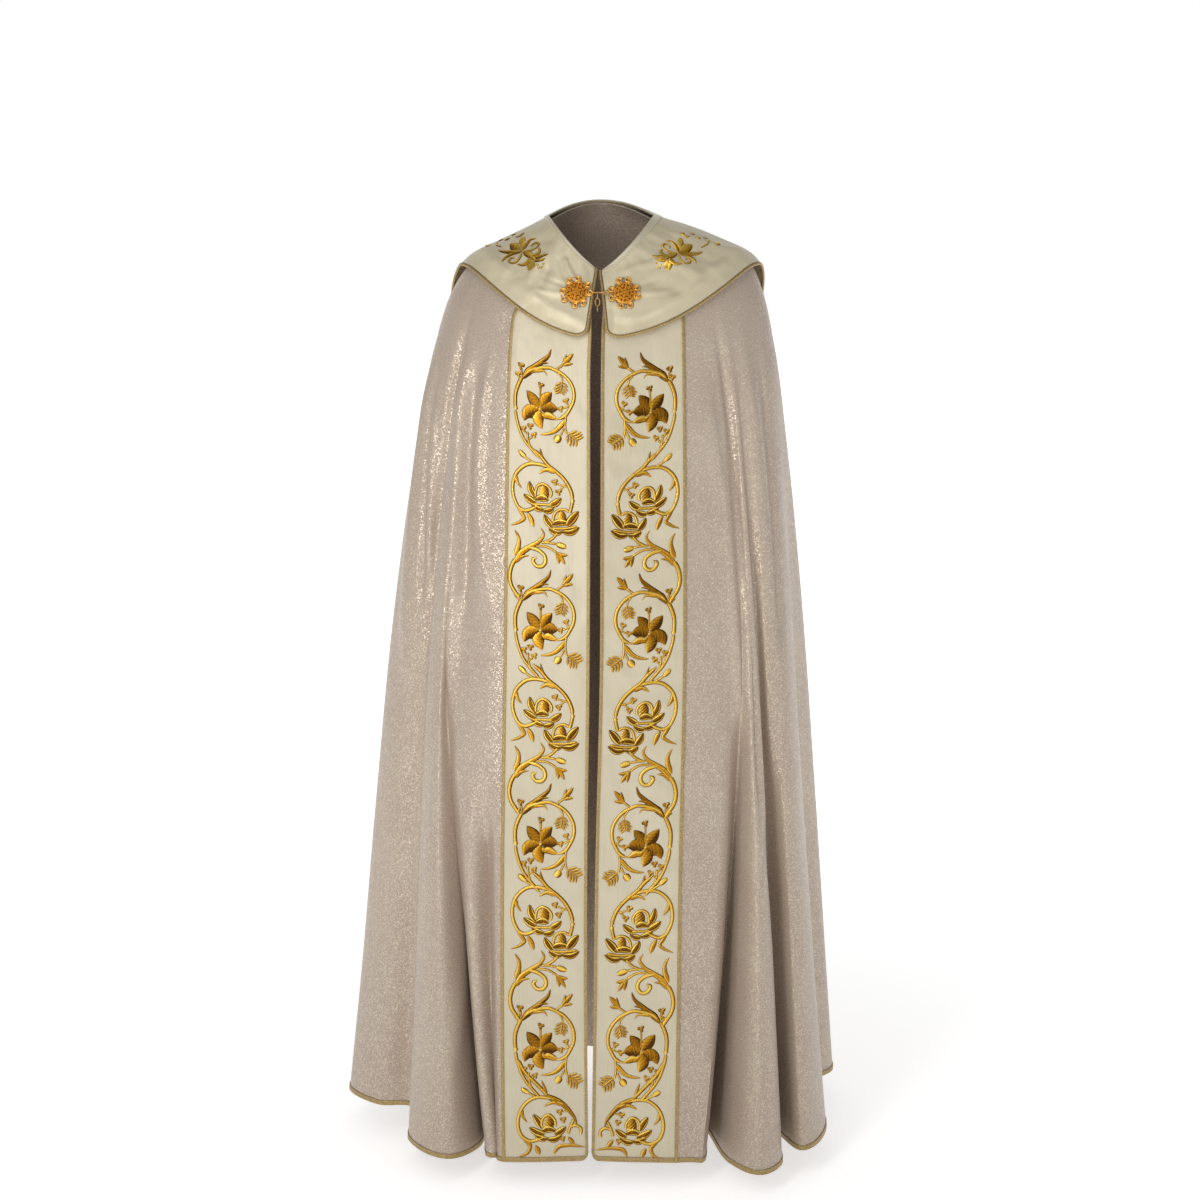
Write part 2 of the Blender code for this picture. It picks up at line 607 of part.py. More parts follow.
def empty_scene():
    """Remove what the scene holds and add the garment's collection and the cutters'."""
    for item in list(bpy.data.objects):
        bpy.data.objects.remove(item, do_unlink=True)
    for name in (COLLECTION, "cutters"):
        group = bpy.data.collections.new(name)
        bpy.context.scene.collection.children.link(group)


def main():
    empty_scene()
    grid = cloak_grid(ROW_FALLS)
    normals = outward(grid)
    build_cloak(grid, normals)
    build_bands(grid, normals)
    build_hem_braid(grid, normals)
    hood = hood_grid()
    build_hood(hood, outward(hood))
    build_clasp(build_medallion("left"), build_medallion("right"))


main()
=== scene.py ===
"""Looks of a cope vestment: glitter cloth, embroidered satin, braid, piping and a filigree clasp.

Metres, +Z up, the front faces -Y. Every cloth surface is a function of the distance down the cloth and the
bearing round the wearer: 0 at the front opening, 90 at the wearer's right side (-X), 180 at the back.
Left and right in names are as seen from the front, so left is -X, the wearer's right.
"""
from collections import namedtuple
import json
import math

import bpy
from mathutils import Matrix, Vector
import numpy as np

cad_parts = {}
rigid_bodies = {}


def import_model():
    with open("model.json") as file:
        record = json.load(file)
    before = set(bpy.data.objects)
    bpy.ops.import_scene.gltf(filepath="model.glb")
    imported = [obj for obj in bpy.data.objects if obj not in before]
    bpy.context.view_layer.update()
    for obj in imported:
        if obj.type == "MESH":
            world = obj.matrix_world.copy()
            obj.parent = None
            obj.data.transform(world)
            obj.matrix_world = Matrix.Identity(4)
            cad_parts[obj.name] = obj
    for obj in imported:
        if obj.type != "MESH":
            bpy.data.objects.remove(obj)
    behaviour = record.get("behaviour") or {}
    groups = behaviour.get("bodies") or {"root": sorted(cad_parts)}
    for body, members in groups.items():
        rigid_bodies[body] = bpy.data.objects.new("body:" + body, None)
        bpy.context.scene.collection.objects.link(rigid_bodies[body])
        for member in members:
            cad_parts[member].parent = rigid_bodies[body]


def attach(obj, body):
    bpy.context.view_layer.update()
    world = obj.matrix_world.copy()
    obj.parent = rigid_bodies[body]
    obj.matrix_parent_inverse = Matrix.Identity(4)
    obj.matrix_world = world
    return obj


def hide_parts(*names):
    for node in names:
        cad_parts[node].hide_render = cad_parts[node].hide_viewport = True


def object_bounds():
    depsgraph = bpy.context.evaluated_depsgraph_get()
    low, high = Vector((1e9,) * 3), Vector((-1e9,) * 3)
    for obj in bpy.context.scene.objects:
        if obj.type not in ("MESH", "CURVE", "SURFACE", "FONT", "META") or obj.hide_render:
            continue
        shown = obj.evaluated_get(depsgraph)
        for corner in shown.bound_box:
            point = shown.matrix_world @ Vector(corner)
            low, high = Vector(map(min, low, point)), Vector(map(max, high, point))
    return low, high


bl_info = {
    "name": "Cope vestment",
    "version": (1, 0, 0),
    "blender": (4, 5, 0),
    "location": "3D View > Sidebar > Cope",
    "description": "Cloth, embroidery, braid and clasp of a cope vestment on its packed solids",
    "category": "Object",
}

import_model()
CAD_BOX = [list(corner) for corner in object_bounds()]
MM = 0.001

# ---------------------------------------------------------------- cloth dimensions (metres)
GAP = 0.0003
CLOAK_WALL = 0.0012
BAND_WALL = 0.0011
BRAID_WALL = 0.0009
HOOD_WALL = 0.0018
BAND_WIDTH = 0.126
BAND_BRAID_WIDTH = 0.0045
BAND_CORNER = 0.012
CORNER_RISE_HEIGHT = 0.024
HEM_BRAID_WIDTH = 0.0070
HOOD_CLEARANCE = 0.0045
HOOD_CORNER = 0.016
PIPING_RADIUS = 0.0023
PIPING_FILL = 0.94  # share of that radius round which the cord's two strands swell and sink
PIPING_TWIST = 0.005  # along the cord from strand to strand and back
PIPING_GROOVE = 0.12  # share of the radius
BINDING_WIDTH = 0.0085
BINDING_WALL = 0.0005
BINDING_BOW = 0.0005  # how far it swells between its edges
BINDING_ROWS = 9
WELT_HEIGHT = 0.0009
WELT_PLACE = 0.86  # share of the binding's width, from the neck
WELT_SPREAD = 0.12  # half the welt's width, as the same share
CORD_PITCH = 0.003  # of the diagonal cords in a braid
BRAID_ROWS = 880
BRAID_COLUMNS = 7
FOOT_BRAID_COLUMNS = 90
SHARP_ANGLE = math.radians(50)

# ---------------------------------------------------------------- the cloth's rings, neck to hem
# Each ring: how far down the cloth, its heights at the sides, front and back, its half widths and half
# depths from a middle, x of the two front edges, and whether its front sags as a round (0) or a vee (1).
Station = namedtuple(
    "Station",
    "name fall side_z front_z back_z left right front back mid_y slit_left slit_right vee",
)
STATIONS = [
    Station("neck", 0.0, -0.006, -0.088, 0.020, 0.073, 0.078, 0.100, 0.072, 0.0, -0.0100, 0.0055, 0.7),
    Station("collar", 0.035, -0.020, -0.108, 0.002, 0.099, 0.126, 0.114, 0.094, 0.0, -0.0115, 0.0052, 0.4),
    Station("shoulder", 0.085, -0.042, -0.136, -0.032, 0.144, 0.179, 0.126, 0.118, 0.0, -0.0125, 0.0045, 0.2),
    Station("tip", 0.145, -0.068, -0.172, -0.080, 0.190, 0.222, 0.136, 0.136, 0.0, -0.0122, 0.0022, 0.0),
    Station("arm_top", 0.195, -0.106, -0.212, -0.126, 0.217, 0.240, 0.144, 0.147, 0.0, -0.0136, 0.0014, 0.0),
    Station("arm", 0.280, -0.190, -0.290, -0.208, 0.246, 0.260, 0.154, 0.162, 0.002, -0.0139, 0.0010, 0.0),
    Station("chest", 0.430, -0.338, -0.430, -0.355, 0.275, 0.281, 0.170, 0.184, 0.006, -0.0139, 0.0007, 0.0),
    Station("waist", 0.680, -0.584, -0.660, -0.600, 0.311, 0.307, 0.196, 0.212, 0.013, -0.0150, -0.0004, 0.0),
    Station("hip", 0.980, -0.884, -0.938, -0.896, 0.342, 0.332, 0.221, 0.240, 0.021, -0.0183, -0.0068, 0.0),
    Station("knee", 1.250, -1.153, -1.189, -1.162, 0.367, 0.354, 0.239, 0.262, 0.027, -0.0186, -0.0100, 0.0),
    Station("hem", 1.450, -1.355, -1.373, -1.358, 0.389, 0.372, 0.252, 0.280, 0.030, -0.0170, -0.0126, 0.0),
]
ROUND_SWEEP = 2.2  # power of the bearing's cosine by which a ring sinks towards the front
TIP_FALL = 0.145  # of the shoulder's tip, from which the folds grow
HEM_FALL = 1.450
BAND_TOP_FALL = 0.085
CLOSE_FALL = 0.300  # down to which the rows lie closer
BAND_TOP_ROW = 6
HEM_ROWS = 3


def stepped(*runs):
    """Places from 0 on, in runs that each end at a place after a number of even steps."""
    starts = [0.0, *(end for end, _ in runs[:-1])]
    places = [np.linspace(start, end, steps + 1)[:-1] for start, (end, steps) in zip(starts, runs)]
    return np.concatenate([*places, [runs[-1][0]]])


ROW_FALLS = stepped((BAND_TOP_FALL, BAND_TOP_ROW), (CLOSE_FALL, 18), (HEM_FALL - HEM_BRAID_WIDTH, 67),
                    (HEM_FALL, HEM_ROWS - 1))

# the folds, front opening to front opening: bearing at the shoulder, place at the hem in mm, how much lower
# the hem hangs there, share of the drop at which the fold begins, roundness at the hem, columns of cloth
Fold = namedtuple("Fold", "name bearing hem_x hem_y low start roundness columns")
FOLDS = [
    Fold("left_band_flat", 33, -141, -224, 3, 0.00, 1.0, 1),
    Fold("left_strip", 41, -163, -217, 4, 0.40, 1.2, 4),
    Fold("left_tuck", 44, -169, -112, 4, 0.46, 1.5, 4),
    Fold("pipe_2_right", 46.5, -181, -164, 8, 0.40, 1.0, 4),
    Fold("pipe_2_ridge", 50, -224, -218, 4, 0.20, 1.2, 4),
    Fold("pipe_2_left", 55, -286, -146, 8, 0.06, 1.0, 4),
    Fold("valley_2_1", 58, -286, -48, 0, 0.00, 1.4, 5),
    Fold("pipe_1_ridge", 67, -344, -36, 0, 0.04, 1.1, 4),
    Fold("pipe_1_left", 80, -394, 44, 0, 0.04, 1.3, 5),
    Fold("side_valley_left", 95, -322, 112, 0, 0.10, 1.8, 5),
    Fold("back_ridge_a", 108, -340, 196, 0, 0.10, 2.0, 5),
    Fold("back_valley_a", 122, -238, 182, 0, 0.14, 2.0, 5),
    Fold("back_ridge_b", 136, -206, 284, 0, 0.12, 2.1, 5),
    Fold("back_valley_b", 150, -126, 228, 0, 0.10, 2.0, 5),
    Fold("back_ridge_c", 163, -76, 314, 0, 0.12, 2.1, 5),
    Fold("back_valley_c", 176, -6, 238, 0, 0.16, 2.0, 5),
    Fold("back_ridge_d", 190, 66, 320, 0, 0.12, 2.1, 5),
    Fold("back_valley_d", 204, 120, 232, 0, 0.10, 2.0, 5),
    Fold("back_ridge_e", 219, 196, 294, 0, 0.12, 2.1, 5),
    Fold("back_valley_e", 234, 244, 184, 0, 0.14, 1.9, 5),
    Fold("pipe_3_back", 250, 338, 216, 0, 0.10, 1.3, 4),
    Fold("pipe_3_right", 266, 376, 128, 0, 0.10, 1.3, 5),
    Fold("valley_3_2", 282, 306, 8, 0, 0.12, 1.6, 5),
    Fold("pipe_2r_right", 293, 344, -88, 8, 0.06, 1.2, 4),
    Fold("pipe_2r_ridge", 302, 300, -190, 6, 0.06, 1.3, 4),
    Fold("valley_2r_1r", 310, 262, -116, 8, 0.02, 1.5, 4),
    Fold("pipe_1r_right", 312.5, 266, -222, 12, 0.10, 1.0, 4),
    Fold("pipe_1r_ridge", 314.5, 233, -256, 13, 0.14, 1.2, 4),
    Fold("pipe_1r_left", 317, 190, -206, 14, 0.36, 1.0, 4),
    Fold("right_tuck", 319.5, 158, -100, 8, 0.48, 1.5, 4),
    Fold("right_strip", 322, 149, -219, 8, 0.42, 1.2, 3),
    Fold("right_band_flat", 329, 113, -224, 4, 0.00, 1.0, 1),
]
FOLD_SWELL = 1.15  # power of the drop by which a fold grows
FINER = 3  # cloth columns here for each column of the solid
BAND_COLUMNS = stepped((BAND_BRAID_WIDTH, 3), (BAND_CORNER, 3), (BAND_WIDTH - BAND_BRAID_WIDTH, 21),
                       (BAND_WIDTH, 3))
BAND_SAMPLES = 96
BAND_SHARE = 0.92  # of the cloth's way to its second fold, the most that an orphrey takes up
CUT_RADIUS = 0.25  # of the neckline on the cloth laid flat
CUT_ANGLE = 2.0  # radians there from front edge to front edge

# creases pressed into the cloth: place is the number of a fold plus the share of the way to the
# next, at the top and at the foot of the crease; falls in mm; depth in mm, less than 0 for a groove
Crease = namedtuple("Crease", "name top foot from_fall to_fall width depth")
CREASES = [
    Crease("left_arm_ridge", 9.0, 8.0, 280, 800, 12, 5),
    Crease("left_short_groove", 8.6, 7.4, 290, 680, 7, -7),
    Crease("left_narrow_ridge", 8.1, 7.2, 320, 620, 6, 4),
    Crease("left_deep_groove", 7.0, 7.0, 190, 780, 8, -9),
    Crease("left_front_ridge", 5.9, 2.9, 240, 780, 14, 7),
    Crease("left_front_hollow", 4.2, 1.6, 230, 650, 13, -6),
    Crease("left_band_ridge", 2.8, 1.05, 240, 620, 11, 6),
    Crease("pipe_2_front", 1.9, 5.0, 760, 1360, 22, 5),
    Crease("left_strip_groove", 1.25, 1.7, 840, 1750, 13, -26),
    Crease("right_deep_groove", 28.7, 27.3, 170, 1000, 8, -9),
    Crease("right_low_groove", 27.0, 26.0, 900, 1700, 8, -8),
    Crease("right_ridge", 25.3, 25.6, 210, 950, 12, 6),
    Crease("right_front_ridge", 31.6, 29.9, 220, 840, 13, 6),
    Crease("right_front_hollow", 31.15, 30.9, 380, 820, 9, -5),
    Crease("right_band_ridge", 31.7, 31.6, 400, 900, 8, 5),
    Crease("right_strip_groove", 31.8, 31.35, 780, 1700, 9, -13),
    Crease("right_arm_groove", 24.3, 24.9, 250, 720, 9, -6),
]
CREASE_FADE = 0.2  # share of a crease's run over which each end fades
CREASE_CLEARANCE = 0.02  # metres beside an orphrey over which the creases fade

# ---------------------------------------------------------------- the hood
# its outer edge: bearing in degrees, how far down the cloth, how far it lifts off beyond the clearance
HoodEdge = namedtuple("HoodEdge", "bearing fall lift")
HOOD_EDGE = [
    HoodEdge(0, 0.151, 0.002),
    HoodEdge(25, 0.149, 0.002),
    HoodEdge(50, 0.147, 0.002),
    HoodEdge(75, 0.152, 0.003),
    HoodEdge(95, 0.168, 0.004),
    HoodEdge(115, 0.235, 0.007),
    HoodEdge(135, 0.330, 0.012),
    HoodEdge(158, 0.425, 0.016),
    HoodEdge(180, 0.458, 0.018),
    HoodEdge(202, 0.425, 0.016),
    HoodEdge(225, 0.330, 0.012),
    HoodEdge(245, 0.235, 0.008),
    HoodEdge(265, 0.168, 0.006),
    HoodEdge(285, 0.150, 0.005),
    HoodEdge(310, 0.147, 0.003),
    HoodEdge(335, 0.149, 0.002),
    HoodEdge(360, 0.151, 0.002),
]
# x of the hood's two front edges, at the neck and at the foot
HOOD_NECK_EDGES = {"left": -0.0095, "right": 0.0048}
HOOD_FOOT_EDGES = {"left": -0.0215, "right": 0.0125}
HOOD_CORNER_COLUMNS = (0.0, 0.0010, 0.0024, 0.0042, 0.0064, 0.0090, 0.0122, 0.0160)
HOOD_COLUMNS = 220
HOOD_ROWS = 44

# folds of the hood: two ends as bearing and fall in mm, width and depth in mm
HoodCrease = namedtuple("HoodCrease", "name bearing_a fall_a bearing_b fall_b width depth")
HOOD_CREASES = [
    HoodCrease("left_neck_diagonal", 31, 30, 17, 50, 5, 3.4),
    HoodCrease("left_neck_groove", 35, 36, 22, 58, 4, -2.4),
    HoodCrease("left_hang", 37, 62, 32, 96, 5, -2.4),
    HoodCrease("left_hang_ridge", 44, 52, 40, 100, 6, 3.0),
    HoodCrease("left_clasp_pull", 22, 66, 34, 78, 4, -2.0),
    HoodCrease("left_clasp_ridge", 20, 82, 31, 100, 5, 2.4),
    HoodCrease("left_shoulder_soft", 52, 24, 62, 70, 10, -2.4),
    HoodCrease("left_soft", 34, 80, 33, 120, 9, 3.0),
    HoodCrease("left_front_roll", 12, 122, 40, 116, 11, 3.4),
    HoodCrease("left_arm_roll", 52, 118, 78, 118, 12, 3.4),
    HoodCrease("right_soft", 333, 66, 325, 112, 11, -2.4),
    HoodCrease("right_front_roll", 346, 122, 318, 116, 11, 3.4),
    HoodCrease("right_arm_roll", 306, 116, 284, 118, 12, 3.4),
    HoodCrease("right_neck_soft", 340, 30, 322, 46, 8, 3.0),
    HoodCrease("right_neck_groove", 336, 38, 322, 58, 4, -2.2),
    HoodCrease("right_clasp_pull", 340, 62, 328, 72, 4, -2.0),
    HoodCrease("right_clasp_ridge", 341, 78, 330, 98, 5, 2.6),
    HoodCrease("right_hang_ridge", 320, 44, 314, 104, 7, 3.2),
    HoodCrease("right_hang", 310, 46, 303, 104, 8, -2.4),
    HoodCrease("right_shoulder", 298, 36, 289, 108, 10, 3.4),
    HoodCrease("right_facing", 354.3, 92, 355.4, 146, 2.6, -1.2),
]
HOOD_METRIC = 0.15  # metres of cloth to a radian on the hood's front
HOOD_LINING = 0.4  # share of the hood's wall at which its inner face lies

# ---------------------------------------------------------------- the clasp
MedallionSpot = namedtuple("MedallionSpot", "fall bearing turn")
MEDALLION_SPOTS = {"left": MedallionSpot(0.068, 15.0, 14.0), "right": MedallionSpot(0.066, 347.5, 4.0)}
MEDALLION_WAIST = 0.0215
MEDALLION_BACK = 0.0008  # metres that a medallion's back stands off the hood
DOME_RADIUS = 0.0158
DOME_HEIGHT = 0.0054
DOME_GROUND = (0.94, 0.76)  # the plain dome under the coils, as shares of the radius and the height
DOME_RINGS = 9
DOME_TURNS = 36
SCROLL_CENTRE = 0.0196
SCROLL_RADIUS = 0.0052
SCROLL_CORE = 0.0018
SCROLL_SPREAD = 17.5  # degrees from a lobe's axis to each of its two scrolls
SCROLL_WIRE = 0.0013
SCROLL_START = 205  # degrees
SCROLL_SWEEP = 520  # degrees
SCROLL_CURL = 0.85  # power of the share of the sweep by which the radius shrinks
SCROLL_STEPS = 52
SCROLL_LIFTS = (1.2, 1.5)  # mm off the medallion's back, outer end and core
# round studs on the border: degrees from a lobe's axis, mm from the middle, mm of radius
Stud = namedtuple("Stud", "turn reach radius")
STUDS = (Stud(45, 17.2, 1.7), Stud(0, 17.0, 1.2), Stud(0, 22.4, 1.1))
STUD_LIFTS = (0.3, 0.9, 1.6, 2.1, 2.5)  # mm off the medallion's back
CORE_RADIUS = 1.35  # mm, of the post that a scroll curls round
CORE_LIFTS = (0.4, 0.9, 1.5, 2.1, 2.5)
RingWire = namedtuple("RingWire", "reach lift radius")  # mm
RING_WIRES = (RingWire(15.2, 1.3, 0.8), RingWire(14.2, 1.8, 0.6))
RING_STEPS = 60
COILS = ((1, 0.0), (6, 0.31), (12, 0.61), (18, 0.90))  # filigree coils: how many, at what share of the dome
COIL_RADIUS = 0.0019
COIL_WIRE = 0.00055
COIL_SHARES = (1.0, 0.45)  # radii of a coil's two turns
COIL_LIFT = 0.00035
COIL_RISE = 0.80  # share of the dome's height that the coils follow
WIRE_RADIUS = 0.0008
LINK_STEPS = 40
LINK_HALF_WIDTH = 0.0033
LINK_HALF_HEIGHTS = (0.0060, 0.0055, 0.0055)
WIRE_CLEARANCE = 0.0021  # how far a link's top lies above the foot of the wire that it hangs on
EYE_SPACE = 0.0006
CLASP_FORWARD = 0.0030
WIRE_TONE = 0.4
EYE_HALF_WIDTH = 0.0034
EYE_HALF_HEIGHT = 0.0030
HOOK_REACH = 0.0024
CHAIN_SHARE = 0.45  # of the way to the eye at which the chain hangs
CHAIN_FORWARD = 0.35  # share of the hook's reach at which it hangs
# the hook's wire: share of the way to the eye, metres past that, share of the reach forward
HookPoint = namedtuple("HookPoint", "share past_eye forward")
HOOK_ROUTE = [
    HookPoint(0.00, 0.0000, 0.0),
    HookPoint(0.35, 0.0000, 0.2),
    HookPoint(1.00, -0.0015, 0.8),
    HookPoint(1.00, 0.0005, 1.0),
    HookPoint(1.00, 0.0024, 0.7),
    HookPoint(1.00, 0.0030, 0.0),
    HookPoint(1.00, 0.0022, -0.6),
]

# ---------------------------------------------------------------- the embroidery chart
# Each row is one stitched shape: its spine goes through (across, down) squares of the chart, counted from
# the orphrey's inner edge and from the motif's own middle row; width is in mm; shade is -1 dark to 1 bright,
# and more on the hood as painted light, raised to make up for the hood's shoulders turning away from the
# front light.
Stitch = namedtuple("Stitch", "kind width shade spine")
LILY = [
    Stitch("stem", 6.0, 0.1, ((67.7, -30), (71.2, -23.1), (74, -14), (74.3, -6.3), (73.8, 0))),
    Stitch("stem", 5.0, 0.2, ((73.7, 1), (73.2, 7), (71.2, 14.8), (67.7, 24.6), (62.8, 33),
                              (56.4, 40.5), (49, 49))),
    Stitch("knot", 7.0, 0.9, ((73.6, -2.1), (73.6, 2.1))),
    Stitch("horn", 11.7, -0.7, ((67.7, -28), (61.4, -35.7), (54.3, -41.3), (46.6, -47.7), (41, -53.3),
                                (38.6, -60.3))),
    Stitch("horn", 6.0, -0.5, ((54, -42), (46, -45.5), (40.7, -45.6))),
    Stitch("stem", 5.4, 0.5, ((66, -31), (60.5, -36.6), (54.3, -39.2), (45.2, -41), (39.6, -41),
                              (33.3, -38.5), (27, -35), (21.4, -29.4), (17.2, -22.4), (15.4, -14.7),
                              (16.1, -6.3), (19.3, 0.7), (23.5, 7), (28.4, 9.8), (32.6, 10.5))),
    Stitch("horn", 6.4, 1.0, ((61, -34), (57.9, -36.4), (50.8, -37.5), (45.2, -37.5), (41.7, -32.9))),
    Stitch("sprig", 2.8, -0.3, ((67.7, -31), (68.4, -38))),
    Stitch("floret", 12.4, -0.2, ((69.1, -40.6),)),
    Stitch("floret", 11.8, 0.4, ((71.5, -32.2),)),
    Stitch("sprig", 3.4, 0.3, ((33, -39.6), (26.3, -44.5))),
    Stitch("leaf", 5.4, -0.1, ((27.4, -43.6), (24.5, -49), (23.5, -55))),
    Stitch("leaf", 7.3, 0.3, ((26.8, -44), (21.6, -50), (16.4, -55.8))),
    Stitch("leaf", 5.4, 0.5, ((27, -43.4), (22, -45), (16.4, -45.2))),
    Stitch("sprig", 3.0, 0.3, ((31.4, -36.4), (27.7, -31.5), (26.6, -27))),
    Stitch("saw", 17.2, 0.2, ((26.3, -28.5), (29.1, -14.2))),
    Stitch("lobe", 17.4, -0.5, ((49.6, -1.8), (55.8, -9.1), (62.6, -17.6))),
    Stitch("lobe", 16.0, -0.5, ((48.6, -2), (42.4, -11.2), (37.2, -16.8))),
    Stitch("lobe", 19.9, -0.8, ((48.6, 0), (39.6, -1.4), (31.2, 0.2))),
    Stitch("lobe", 18.5, -0.4, ((49, 0), (57.9, 2.1), (62.8, 5.6), (65.2, 12.2))),
    Stitch("lobe", 18.2, 0.3, ((48.6, 1), (50.8, 9.8), (46.8, 20))),
    Stitch("leaf", 11.0, 0.9, ((31.8, 10.6), (36, 8.5), (41, 6.5), (44.5, 6.6), (47.6, 3.4))),
    Stitch("sprig", 2.8, -0.4, ((48.7, -4.2), (48.7, -17.5), (48.4, -21.5))),
    Stitch("floret", 11.5, -0.5, ((48.4, -23.4),)),
    Stitch("dot", 4.8, 0.9, ((49, 0.4),)),
    Stitch("sprig", 2.6, 0.3, ((17.2, -4.1), (22.8, -1), (27, 0.4))),
    Stitch("sprig", 2.6, 0.3, ((21, -2), (22.6, -5))),
    Stitch("floret", 10.9, 0.5, ((23.1, -7.3),)),
    Stitch("floret", 10.9, 0.4, ((28.7, 0.6),)),
    Stitch("stem", 3.5, 0.4, ((22.6, 6), (23.8, 13.3), (23.8, 20.4), (22.4, 26.7))),
    Stitch("horn", 8.6, 0.9, ((23.4, 11), (28.4, 17.6), (34, 22.5), (39.6, 24.6), (49.1, 25.6))),
    Stitch("sprig", 3.0, 0.2, ((25.2, 20.5), (28.4, 27.4))),
    Stitch("bud", 10.9, 0.8, ((28.6, 27.2), (34, 33.8))),
    Stitch("saw", 20.0, 0.2, ((22.8, 25.4), (9.8, 36))),
    Stitch("sprig", 3.4, 0.2, ((57.5, 40), (60.7, 30.2), (61, 22.6))),
    Stitch("sprig", 2.6, 0.1, ((60.9, 27), (64, 22.6))),
    Stitch("sprig", 2.6, 0.1, ((60.2, 31), (56.2, 27.6))),
    Stitch("floret", 11.2, 0.3, ((65.2, 20),)),
    Stitch("floret", 11.2, -0.1, ((58.6, 17.2),)),
    Stitch("floret", 10.6, 0.5, ((54.6, 26),)),
]
